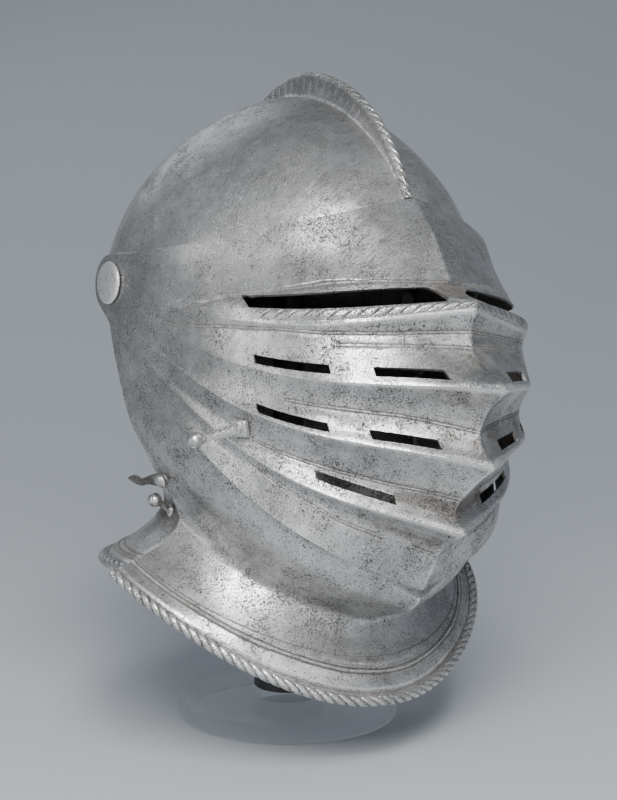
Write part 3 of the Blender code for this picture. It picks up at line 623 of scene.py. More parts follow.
def rim_roll(name: str, path: Array) -> bpy.types.Object:
    """The flange's round roll along a path, cut obliquely like a rope and rounded at its ends.

    Args:
        name: name of the piece.
        path: points along the middle of the roll.

    Returns:
        The roll.
    """
    sides, step, rounding, least = 22, 0.65 * MM, 0.6, 0.02
    points, marks = resample(path, step)
    ahead = unit(np.gradient(points, axis=0))
    beside = unit(np.cross(ahead, np.array([0.0, 0.0, 1.0])))
    above = np.cross(beside, ahead)
    turn = np.linspace(0, math.tau, sides, endpoint=False)
    cut = rope(marks[:, None] / RIM_ROPE_PITCH + RIM_ROPE_SLANT * turn[None, :] / math.tau)
    size = RIM_ROLL_RADIUS * (1 - RIM_ROPE_DEPTH * cut)
    ends = np.minimum(marks, marks[-1] - marks)[:, None]
    inward = 1 - np.clip(ends / (RIM_ROLL_RADIUS * rounding), 0, 1)
    size = size * np.sqrt(np.clip(1 - inward ** 2, least, 1))
    ring = np.cos(turn)[None, :, None] * beside[:, None] + np.sin(turn)[None, :, None] * above[:, None]
    around = points[:, None] + ring * size[:, :, None]
    quads = grid_quads(len(points), sides, around=True).tolist()
    last = (len(points) - 1) * sides
    quads += [list(range(sides)), [last + i for i in reversed(range(sides))]]
    piece = mesh_object(name, around, quads, 50)
    mark_relief(piece, 6, 0.4 * MM)
    return piece


def dress(piece: bpy.types.Object, body: Body, slot: Slot, finish: bpy.types.Material, *nodes: str) -> None:
    """Gives a piece its finish, makes it ride on its body and hides the nodes that it stands for."""
    piece.data.materials.clear()
    piece.data.materials.append(finish)
    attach(piece, body.value)
    if nodes:
        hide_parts(*nodes)
    log.info("%s rides on %s, %d faces", piece.name, body.value, len(piece.data.polygons))


@dataclass
class Visor:
    """The bellows visor with its sights, breaths, cut lines and roped lip."""

    columns: int = 116
    crowding: float = 1.12
    crease_fade: tuple[float, float] = (0.62, 0.95)
    slot_edge: float = 0.003
    slot_clear: float = 0.0016
    arm_start: float = 0.875
    breath_height: float = 4.8 * MM
    swell: float = 0.16 * MM
    swell_size: float = 16 * MM
    swell_seed: float = 3.1
    lip_columns: int = 330
    lip_lines: int = 15
    lip_start: float = -0.03
    lip_share: float = 0.80
    lip_bulge: float = 0.9 * MM
    lip_fullness: float = 0.6
    lip_cut: float = 0.8 * MM
    lip_cut_width: float = 0.075
    lip_tuck: float = 0.1 * MM
    lip_pitch: float = 7.2 * MM
    lip_first_cut: float = 0.25
    lip_end: float = 0.64
    lip_fade: float = 0.06

    def plate(self) -> Plate:
        """The laid-out plate, with its slots and cut lines."""
        row = VISOR_NAMES.index
        slots = (
            Pierced("sight", row("sight_top") + 0.38, 0.050, 0.622, 0.0),
            Pierced("upper_inner", row("hollow_1_low") + 0.66, 0.117, 0.300, self.breath_height),
            Pierced("upper_outer", row("hollow_1_low") + 0.66, 0.415, 0.610, self.breath_height),
            Pierced("middle_inner", row("hollow_2_low") + 0.22, 0.112, 0.290, self.breath_height),
            Pierced("middle_outer", row("hollow_2_low") + 0.22, 0.400, 0.590, self.breath_height),
            Pierced("lower", row("hollow_3_low") + 0.34, 0.165, 0.395, self.breath_height),
        )
        base = (np.arange(self.columns + 1) / self.columns) ** self.crowding
        ends = [end for slot in slots for end in (slot.start, slot.end)]
        near = [end + shift for end in ends for shift in (-self.slot_edge, 0.0, self.slot_edge)]
        free = base[np.min(np.abs(base[:, None] - np.array(near)[None, :]), axis=1) > self.slot_clear]
        places = np.unique(np.round(np.concatenate([free, near, [0.0, 1.0]]), 5))
        creases = ("sight_crease", "lip_top", "lip_bottom", "ridge_1", "ridge_2", "ridge_3")
        plate = Plate(visor_guides(), places, [row(name) for name in creases], self.crease_fade)
        for slot in slots:
            plate.pierce(slot)
        for pair in ENGRAVED:
            plate.engrave(pair)
        return plate

    def build(self) -> bpy.types.Object:
        """The visor's plate."""
        points, kept = self.plate().shape()
        self.round_arm(points)
        ease_creases(points)
        blunt_keel(points)
        points, kept = both_halves(points, kept)
        out = outward(points)
        rise = uneven(points, self.swell, self.swell_size, self.swell_seed)
        points = points + out * rise[:, :, None]
        piece = mesh_object("visor_plate", points, grid_quads(*points.shape[:2], kept))
        mark_relief(piece)
        thicken(piece)
        return piece

    def round_arm(self, points: Array) -> None:
        """Brings the arm's end onto its circle about the hinge line."""
        end = points[:, -1]
        exact = np.sqrt(np.clip(ARM_RADIUS ** 2 - end[:, 2] ** 2, 0, None))
        share = smooth_step(self.arm_start, 1.0, np.linspace(0, 1, points.shape[1]))
        points[:, :, 1] += (exact - end[:, 1])[:, None] * share[None, :]

    def build_lip(self) -> bpy.types.Object:
        """The roped lip under the sights, a cut bead over the plate's lip."""
        places = np.linspace(0, self.lip_end, self.lip_columns)
        top = VISOR_NAMES.index("lip_top")
        surface = Surface(cubic(visor_guides(), places), [top, top + 1], np.ones(len(places)))
        across = np.linspace(0.0, 1.0, self.lip_lines)
        lines = top + self.lip_start + self.lip_share * across
        points = surface.at(np.repeat(lines[:, None], len(places), axis=1))
        out = outward(points)
        turns = run_along(points[len(across) // 2]) / self.lip_pitch + self.lip_first_cut
        cut = rope(turns[None, :] - across[:, None], self.lip_cut_width)
        fade = 1 - smooth_step(self.lip_end - self.lip_fade, self.lip_end, places)
        bead = np.sin(np.pi * across)[:, None] ** self.lip_fullness
        rise = (self.lip_bulge - self.lip_cut * cut) * bead * fade[None, :] - self.lip_tuck * (1 - bead)
        faces = np.ones((len(across) - 1, len(places) - 1), bool)
        points, kept = both_halves(points + out * rise[:, :, None], faces)
        piece = mesh_object("visor_lip_rope", points, grid_quads(*points.shape[:2], kept), 60)
        mark_relief(piece, 6, 0.3 * MM)
        return piece


def ease_creases(points: Array) -> None:
    """Takes the keenness off creases by drawing each line a little towards the lines beside it."""
    points[1:-1] += CREASE_EASE * ((points[:-2] + points[2:]) / 2 - points[1:-1])


def blunt_keel(points: Array) -> None:
    """Takes the keenness off the keel, where the two halves meet in the middle plane."""
    points[:, 1] += KEEL_SIDE_EASE * ((points[:, 0] + points[:, 2]) / 2 - points[:, 1])
    points[:, 0, 1:] += KEEL_EASE * (points[:, 1, 1:] - points[:, 0, 1:])


ENGRAVED = (
    Engraved("above_sight", (0.0, 0.077, 0.188, 0.305, 0.375, 0.52, 0.67, 0.768, 0.84),
             (2.45, 2.45, 2.27, 2.06, 2.0, 2.15, 3.1, 4.45, 6.4)),
    Engraved("below_sight", (0.0, 0.212, 0.413, 0.55, 0.677, 0.78, 0.865, 0.90),
             (5.98, 6.08, 5.98, 5.75, 6.1, 6.95, 7.18, 6.8)),
    Engraved("hollow_1", (0.0, 0.147, 0.263, 0.40), (6.55, 6.75, 6.85, 6.85)),
    Engraved("hollow_2", (0.0, 0.1, 0.188, 0.405, 0.53), (10.1, 10.03, 9.88, 9.75, 9.75)),
    Engraved("hollow_3", (0.0, 0.182, 0.352, 0.48, 0.60), (13.53, 13.8, 13.9, 14.0, 14.05)),
    Engraved("under_ridge_3", (0.0, 0.09), (16.4, 16.45)),
    Engraved("cheek", (0.15, 0.268, 0.393, 0.5, 0.588), (16.5, 16.53, 16.4, 16.12, 15.6)),
)


# Across a line of the flange: how far below its middle, and how far out of the plate
Profile = tuple[tuple[float, float], ...]
BEAD_PROFILE: Profile = (
    (-2.0 * MM, 0.0), (-1.4 * MM, -0.45 * MM), (-0.8 * MM, 0.35 * MM), (0.0, 0.75 * MM),
    (0.8 * MM, 0.35 * MM), (1.4 * MM, -0.45 * MM), (2.0 * MM, 0.0),
)
GROOVE_PROFILE: Profile = (
    (-2.0 * MM, 0.0), (-1.0 * MM, -0.5 * MM), (0.0, -0.7 * MM), (1.0 * MM, -0.5 * MM), (2.0 * MM, 0.0),
)
LINE_PROFILE: Profile = ((-0.9 * MM, 0.0), (0.0, -0.5 * MM), (0.9 * MM, 0.0))


@dataclass
class Bevor:
    """The chin and throat plate with the front of the neck flange and its roped roll."""

    columns: int = 120
    crowding: float = 1.08
    crease_fade: tuple[float, float] = (0.9, 1.2)
    rim_points: int = 160
    swell: float = 0.16 * MM
    swell_size: float = 18 * MM
    swell_seed: float = 7.7
    line: Engraved = Engraved("flange_line", (0.0, 0.1, 0.3, 0.6, 0.9, 1.0),
                              (8.12, 8.2, 8.38, 8.5, 8.6, 8.6), 0.0)
    bead: tuple[tuple[float, ...], ...] = ((0.0, 0.15, 0.37, 0.55, 0.72, 1.0),
                                           (9.05, 9.1, 9.02, 8.95, 8.86, 8.9))
    groove_above_rim: float = 0.20
    last_line: float = 0.01

    def rim(self) -> Array:
        """Points along the flange's edge, from the wearer's right round to the left."""
        edge = cubic(bevor_guides()[-1:], np.linspace(0, 1, self.rim_points))[0]
        path = np.concatenate([edge[:0:-1] * MIRROR, edge])
        return path - np.array([0.0, 0.0, RIM_ROLL_RADIUS * RIM_ROLL_DROP])

    def build(self) -> bpy.types.Object:
        """The bevor's plate, with the creased line and the rounded step of its flange."""
        guides = bevor_guides()
        rim = len(guides) - 1
        places = (np.arange(self.columns + 1) / self.columns) ** self.crowding
        plate = Plate(guides, places, [], self.crease_fade)
        plate.engrave(self.line)
        bead = np.interp(places, *self.bead)
        groove = np.full(len(places), rim - self.groove_above_rim)
        steps = ((bead, BEAD_PROFILE), (groove, GROOVE_PROFILE))
        for row, profile in steps:
            length = plate.surface.length_at(row)
            plate.marks += [np.minimum(row + shift / length, rim - self.last_line) for shift, _ in profile]
        points, kept = plate.shape()
        v = plate.lines()
        out = outward(points)
        for row, profile in steps:
            away = (v - row[None, :]) * plate.surface.length_at(row)[None, :]
            shifts, rises = np.array(profile).T
            points += out * np.interp(away, shifts, rises)[:, :, None]
        points, kept = both_halves(points, kept)
        out = outward(points)
        rise = uneven(points, self.swell, self.swell_size, self.swell_seed)
        points = points + out * rise[:, :, None]
        piece = mesh_object("bevor_plate", points, grid_quads(*points.shape[:2], kept))
        mark_relief(piece)
        thicken(piece)
        return piece

    def build_roll(self) -> bpy.types.Object:
        """The roped roll along the front of the neck flange."""
        return rim_roll("front_rim_rope", self.rim())


@dataclass
class Skull:
    """The bowl with its roped comb, down the nape to the back of the neck flange."""

    crown_rise: float = 0.1145
    front: float = 0.140        # the bowl's reach ahead of the hinge line
    back: float = 0.091         # and behind it
    middle: float = 0.008       # the crown's reach ahead of it
    base: float = -0.005        # height at which the bowl is widest
    peak: float = 1.25          # how far its round is drawn to a point at the crown, as a power
    neck_edge: float = 0.43     # where the back of the flange ends in front, as a share of front
    columns: int = 96
    bowl_steps: tuple[float, ...] = (3, 8, *range(14, 91, 4))
    line_step: float = 2.6 * MM
    flange_step: float = 0.9 * MM
    flange_lines: tuple[tuple[float, Profile], ...] = (
        (1.5, LINE_PROFILE), (1.95, BEAD_PROFILE), (2.72, GROOVE_PROFILE),
    )
    outline_reach: float = 5 * MM
    swell: float = 0.18 * MM
    swell_size: float = 20 * MM
    swell_seed: float = 12.3
    sunk: float = 0.45 * MM     # how far the plate lies within the solid's outside
    rim_points: int = 240
    comb_angles: tuple[float, float] = (26.0, 158.0)
    comb_height: float = 0.0146
    comb_roll: float = 0.0030
    comb_foot: float = 0.0040
    comb_pitch: float = 6.8 * MM
    comb_slant: float = 0.55
    comb_cut_width: float = 0.085
    comb_cut_depth: float = 0.34
    comb_hollow: float = 0.7 * MM
    comb_sink: float = 0.9 * MM
    comb_lines: int = 420
    comb_round: int = 12        # lines on either side over which the crest's height is evened
    crest_half_round: float = 100.0
    crest_lines: int = 21
    wall_lines: int = 9
    comb_heights: tuple[tuple[float, float], ...] = (
        (0.00, 0.12), (0.06, 0.32), (0.12, 0.52), (0.17, 0.67), (0.27, 0.90), (0.40, 1.00),
        (0.485, 0.80), (0.59, 0.56), (0.75, 0.32), (0.90, 0.13), (1.00, 0.03),
    )
    opening: tuple[tuple[float, float], ...] = (
        (1.50, 0.190), (0.92, 0.190), (0.76, 0.130), (0.58, 0.030), (0.42, -0.120), (0.31, -0.290),
        (0.33, -0.430), (0.42, -0.560), (0.43, -0.640), (0.43, -1.100), (1.50, -1.100),
    )

    def dome(self, polar: float, around: Array) -> Array:
        """Points of the bowl: polar is 0 at the top, around is 0 in front and pi behind."""
        ahead = around < math.pi / 2
        forward = np.where(ahead, self.front - self.middle, self.back + self.middle)
        flat = math.sin(polar)
        reach = self.middle + forward * np.where(ahead, flat, flat ** self.peak) * np.cos(around)
        wide = SKULL_HALF_WIDTH * flat ** self.peak * np.sin(around)
        height = np.full_like(wide, self.base + (self.crown_rise - self.base) * math.cos(polar))
        return np.stack([wide, -reach, height], axis=1)

    def nape(self, row: tuple, around: Array) -> Array:
        """Points of one row of the nape and neck."""
        _, width, forward, depth, side, behind = row
        turn = np.cos(around)
        ahead = turn > 0
        length = np.where(ahead, NAPE_FRONT * RIM_REACH, depth * self.back)
        fall = side - NAPE_FALL * length * turn / RIM_DROP
        lift = side + (behind - side) * np.clip(-turn, 0, None) ** NAPE_LIFT
        round_side = np.clip(np.sin(around), 0, 1)
        wide = width * RIM_HALF_WIDTH * np.where(ahead, round_side, round_side ** NAPE_TAPER)
        height = np.where(ahead, fall, lift) * RIM_DROP
        return np.stack([wide, -(forward * self.back + length * turn), height], axis=1)

    def rows(self, around: Array) -> Array:
        """The bowl's and the nape's rows, from near the crown down to the neck."""
        made = [self.dome(math.radians(angle), around) for angle in self.bowl_steps]
        made += [self.nape(row, around) for row in NAPE_ROWS]
        rows = np.array(made)
        rows[:, [0, -1], 0] = 0.0
        return rows

    def build(self) -> bpy.types.Object:
        """The skull's plate, cut out for the face."""
        around = np.linspace(0, math.pi, self.columns + 1)
        rows = self.rows(around)
        first = len(rows) - len(NAPE_ROWS)
        flare = first + [row[0] for row in NAPE_ROWS].index("flare")
        surface = Surface(rows, [], np.ones(len(around)))
        marks: list[float] = []
        for band in range(len(rows) - 1):
            span = float(np.max(surface.lengths[band]))
            parts = max(1, int(round(span / (self.flange_step if band >= flare else self.line_step))))
            marks += [band + i / parts for i in range(parts)]
        v = np.repeat(np.array(marks + [len(rows) - 1.0])[:, None], len(around), axis=1)
        points = surface.at(v)
        out = outward(points)
        rise = np.zeros(v.shape)
        for below, profile in self.flange_lines:
            row = flare + below
            length = surface.length_at(np.full(len(around), row))
            shifts, rises = np.array(profile).T
            rise += np.interp((v - row) * length[None, :], shifts, rises)
        points += out * rise[:, :, None]
        kept = self.cut_face(points)
        points, kept = both_halves(points, kept)
        out = outward(points)
        rise = uneven(points, self.swell, self.swell_size, self.swell_seed) - self.sunk
        points = points + out * rise[:, :, None]
        quads = grid_quads(*points.shape[:2], kept).tolist()
        quads.append(list(range(points.shape[1])))
        piece = mesh_object("skull_plate", points, quads)
        mark_relief(piece)
        thicken(piece)
        return piece

    def cut_face(self, points: Array) -> Array:
        """Moves the points beside the face opening onto its outline.

        Args:
            points: points of the left half, shaped (lines, places, 3), which are changed.

        Returns:
            Which faces are outside the opening, shaped (lines - 1, places - 1).
        """
        outline = np.array([[-reach * self.front, height * RIM_DROP] for reach, height in self.opening])
        side = points[:, :, 1:]
        inside = np.zeros(points.shape[:2], bool)
        nearest = np.full_like(side, np.inf)
        least = np.full(points.shape[:2], np.inf)
        for one, two in zip(outline, np.roll(outline, -1, axis=0)):
            span = two - one
            crosses = (one[1] > side[..., 1]) != (two[1] > side[..., 1])
            rise = span[1] if abs(span[1]) > TINY else TINY
            inside ^= crosses & (side[..., 0] < one[0] + (side[..., 1] - one[1]) * span[0] / rise)
            share = np.clip(((side - one) @ span) / (span @ span), 0, 1)
            foot = one + share[..., None] * span
            away = np.linalg.norm(side - foot, axis=-1)
            closer = away < least
            nearest[closer] = foot[closer]
            least = np.minimum(least, away)
        corners = inside[1:, 1:].astype(int) + inside[1:, :-1] + inside[:-1, 1:] + inside[:-1, :-1]
        kept = corners < 3

        def touched(faces: Array) -> Array:
            """Which points belong to any of the faces."""
            made = np.zeros(inside.shape, bool)
            for down, across in ((0, 0), (0, 1), (1, 0), (1, 1)):
                made[down:down + faces.shape[0], across:across + faces.shape[1]] |= faces
            return made

        edge = (touched(~kept) | inside) & touched(kept) & (least < self.outline_reach)
        side[edge] = nearest[edge]
        return kept

    def build_roll(self) -> bpy.types.Object:
        """The roped roll along the back of the neck flange."""
        edge = self.nape(NAPE_ROWS[-1], np.linspace(0, math.pi, self.rim_points))
        edge[-1, 0] = 0.0
        edge = edge[edge[:, 1] > -self.neck_edge * self.front + RIM_ROLL_RADIUS]
        path = np.concatenate([edge, edge[-2::-1] * MIRROR])
        path[:, 2] -= RIM_ROLL_RADIUS * RIM_ROLL_DROP
        return rim_roll("back_rim_rope", path)

    def bowl_radius(self, angle: float) -> float:
        """Hinge line to the bowl in the middle plane, at an angle up from straight ahead."""
        halvings = 40
        low, high = -math.pi / 2, math.pi / 2
        for _ in range(halvings):
            polar = (low + high) / 2
            point = self.dome(abs(polar), np.array([0.0 if polar < 0 else math.pi]))[0]
            if math.atan2(point[2], -point[1]) < angle:
                low = polar
            else:
                high = polar
        return math.hypot(point[1], point[2])

    def build_comb(self) -> bpy.types.Object:
        """The comb: a fin that flares into the bowl, with a roped crest."""
        first, last = (math.radians(angle) for angle in self.comb_angles)
        angles = np.linspace(first, last, self.comb_lines)
        share = np.linspace(0, 1, len(angles))
        foot = np.array([self.bowl_radius(angle) for angle in angles])
        tall = np.interp(share, *np.array(self.comb_heights).T) * self.comb_height
        window = 2 * self.comb_round + 1
        padded = np.pad(tall, self.comb_round, mode="edge")
        tall = np.convolve(padded, np.ones(window) / window, mode="valid")
        least = self.comb_roll * 0.9
        crest = foot + np.maximum(tall, least)
        way = np.stack([np.zeros(len(angles)), -np.cos(angles), np.sin(angles)], axis=1)
        turn = np.radians(np.linspace(-self.crest_half_round, self.crest_half_round, self.crest_lines))
        turns = run_along(way * crest[:, None]) / self.comb_pitch
        cut = rope(turns[:, None] + self.comb_slant * turn[None, :], self.comb_cut_width)
        cut = cut * np.cos(turn * 0.85)[None, :] ** 0.5
        size = self.comb_roll * (1 - self.comb_cut_depth * cut)
        x = size * np.sin(turn)
        h = (crest - self.comb_roll)[:, None] + size * np.cos(turn)
        drop = np.linspace(0, 1, self.wall_lines + 1)[1:]
        x_end, h_end = x[:, -1:], h[:, -1:]
        sunk = foot[:, None] - self.comb_sink
        wall_h = h_end + np.minimum(sunk - h_end, -0.2 * MM) * drop
        wall_x = x_end + (self.comb_foot - x_end) * drop ** 3 - self.comb_hollow * np.sin(np.pi * drop)
        x = np.concatenate([-wall_x[:, ::-1], x, wall_x], axis=1)
        h = np.concatenate([wall_h[:, ::-1], h, wall_h], axis=1)
        points = way[:, None] * h[:, :, None]
        points[:, :, 0] = x
        count = points.shape[1]
        quads = grid_quads(len(angles), count, around=True)[:, ::-1].tolist()
        end = (len(angles) - 1) * count
        quads += [list(reversed(range(count))), [end + i for i in range(count)]]
        piece = mesh_object("comb", points, quads, 60)
        mark_relief(piece, 6, 0.4 * MM)
        return piece


def along(direction: Vector) -> Matrix:
    """The rotation that turns +Z to a direction."""
    return Vector(direction).to_track_quat("Z", "Y").to_matrix().to_4x4()


def surface_of(*targets: bpy.types.Object) -> BVHTree:
    """The surface of a piece as built, for seating fittings on it."""
    vertices: list[Vector] = []
    faces: list[list[int]] = []
    for target in targets:
        start = len(vertices)
        vertices += [vertex.co.copy() for vertex in target.data.vertices]
        faces += [[start + i for i in polygon.vertices] for polygon in target.data.polygons]
    return BVHTree.FromPolygons(vertices, faces)


def right_side(tree: BVHTree, place: tuple[float, float]) -> tuple[Vector, Vector]:
    """The point of a surface on the wearer's right, and the way out of it there.

    Args:
        tree: the surface.
        place: reach and height round the hinge line as shares of RIM_REACH and RIM_DROP.

    Returns:
        The point and the outward unit vector, in the frame.
    """
    start = HELMET @ Vector((-RIM_HALF_WIDTH * 2, -place[0] * RIM_REACH, place[1] * RIM_DROP))
    way = HELMET.to_3x3() @ Vector((1, 0, 0))
    hit, normal, _, _ = tree.ray_cast(start, way)
    return hit, normal if normal.dot(way) < 0 else -normal


def turned(name: str, profile: Sequence[tuple[float, float]], place: Matrix,
           sides: int = 64) -> bpy.types.Object:
    """A turned piece.

    Args:
        name: name of the piece.
        profile: radii and heights from the middle of its top down its outside.
        place: where it stands in the frame, its axis along Z.
        sides: how many sides its round has.

    Returns:
        The piece, at the frame's origin.
    """
    turn = np.linspace(0, math.tau, sides, endpoint=False)
    ring = np.stack([np.cos(turn), np.sin(turn), np.zeros(sides)], axis=1)
    least = 1e-6
    rings = [np.array([0.0, 0.0, height]) + ring * max(radius, least) for radius, height in profile]
    points = np.array(rings)
    quads = grid_quads(len(profile), sides, around=True).tolist()
    mesh = bpy.data.meshes.new(name)
    mesh.from_pydata(points.reshape(-1, 3).tolist(), [], quads)
    bm = bmesh.new()
    bm.from_mesh(mesh)
    bmesh.ops.remove_doubles(bm, verts=bm.verts, dist=0.000005)
    bmesh.ops.recalc_face_normals(bm, faces=bm.faces)
    bm.to_mesh(mesh)
    bm.free()
    mesh.transform(place)
    return finished(name, mesh, 40)


def dome_profile(radius: float, height: float, lift: float = 0.0,
                 count: int = 10) -> list[tuple[float, float]]:
    """A dome's profile from its top's middle down to its rim, whose height is lift."""
    arcs = [math.pi / 2 * i / count for i in range(count + 1)]
    return [(radius * math.sin(arc), lift + height * math.cos(arc)) for arc in arcs]


def ball_profile(radius: float, middle: float, neck: float, count: int = 14) -> list[tuple[float, float]]:
    """A ball's profile from its top down to where it meets a neck."""
    last = math.pi - math.asin(neck / radius)
    arcs = [last * i / count for i in range(count + 1)]
    return [(radius * math.sin(arc), middle + radius * math.cos(arc)) for arc in arcs]


def bevelled_block(name: str, place: Matrix, size: tuple[float, float, float],
                   bevel: float) -> bpy.types.Object:
    """A block with bevelled edges, its middle at the place's origin."""
    bm = bmesh.new()
    bmesh.ops.create_cube(bm, size=1, matrix=place @ Matrix.Diagonal((*size, 1)))
    bmesh.ops.bevel(bm, geom=bm.edges[:], offset=bevel, segments=3, affect="EDGES")
    mesh = bpy.data.meshes.new(name)
    bm.to_mesh(mesh)
    bm.free()
    return finished(name, mesh, 40)


def joined(name: str, parts: Sequence[bpy.types.Object]) -> bpy.types.Object:
    """Several forms put into the first one's mesh."""
    bm = bmesh.new()
    for part in parts:
        bm.from_mesh(part.data)
    mesh = bpy.data.meshes.new(name)
    bm.to_mesh(mesh)
    bm.free()
    for part in parts:
        bpy.data.objects.remove(part)
    return finished(name, mesh, 40)


@dataclass
class Pivots:
    """The two domed pivots that the visor and bevor turn on."""

    head_radius: float = 0.0118
    head_height: float = 0.00255
    rim_share: float = 0.25
    rim_roundness: float = 0.05 * MM
    shaft_radius: float = 0.0030
    washer_spread: float = 1.7
    washer_gap: float = 0.0027

    def build(self, side: int, word: str) -> bpy.types.Object:
        """One pivot, with its hammered head, shaft and inner washer.

        Args:
            side: -1 for the wearer's right and 1 for the left.
            word: the side in words.

        Returns:
            The pivot.
        """
        grip = VISOR_HALF_WIDTH + FIT - (SKULL_HALF_WIDTH - WALL) + self.washer_gap
        rim = self.head_height * self.rim_share
        washer = self.shaft_radius * self.washer_spread
        profile = dome_profile(self.head_radius, self.head_height - rim, rim)
        profile += [(self.head_radius + self.rim_roundness, rim / 2), (self.head_radius, 0.0)]
        profile += [(self.shaft_radius, 0.0), (self.shaft_radius, -grip), (washer, -grip),
                    (washer, -grip - WALL), (0.0, -grip - WALL)]
        place = HELMET @ Matrix.Translation((side * (VISOR_HALF_WIDTH + FIT), 0, 0)) @ along((side, 0, 0))
        piece = turned("pivot_head_" + word, profile, place)
        mark_relief(piece, 4)
        return piece


@dataclass
class Peg:
    """The lifting peg: square foot, tapered eight-sided shank and ball."""

    place: tuple[float, float] = (0.836, -0.314)
    direction: tuple[float, float, float] = (-27.0, 2.0, -7.0)
    length: float = 0.025
    radius: float = 0.0033
    ball: float = 0.0042
    taper: float = 0.74
    ball_seat: float = 0.4
    foot: float = 0.0088
    foot_height: float = 0.0032
    foot_lift: float = 0.7 * MM
    foot_bevel: float = 0.5 * MM
    rivet_length: float = 4.6 * MM

    def build(self, visor: bpy.types.Object) -> bpy.types.Object:
        """The peg, seated on the visor's right cheek."""
        point, out = right_side(surface_of(visor), self.place)
        lean = (HELMET.to_3x3() @ Vector(self.direction)).normalized()
        middle = point + out * (self.foot_height / 2 + self.foot_lift)
        frame = Matrix.Translation(middle) @ along(out)
        foot = bevelled_block("peg_foot", frame, (self.foot, self.foot, self.foot_height), self.foot_bevel)
        shank_place = Matrix.Translation(middle) @ along(lean)
        end = self.radius * self.taper
        neck = self.length - self.ball
        profile = ball_profile(self.ball, self.length + self.ball * self.ball_seat, end * 0.8)
        profile += [(end * 1.25, neck + self.ball / 4), (end, neck), (0.0, neck)]
        ball = turned("peg_ball", profile, shank_place, 40)
        shank_top = self.length - 2 * MM
        shank_profile = [(0.0, shank_top), (end, shank_top), (self.radius, 2 * MM), (0.0, 0.0)]
        shank = turned("peg_shank", shank_profile, shank_place, 8)
        shank.data.shade_flat()
        pin = self.rivet_length
        rivet_profile = [(0.0, 0.0), (RIVET_RADIUS, 0.0), (RIVET_RADIUS, -pin), (0.0, -pin)]
        rivet = turned("peg_rivet", rivet_profile, frame, 24)
        piece = joined("peg", [foot, shank, ball, rivet])
        mark_relief(piece, 3)
        return piece


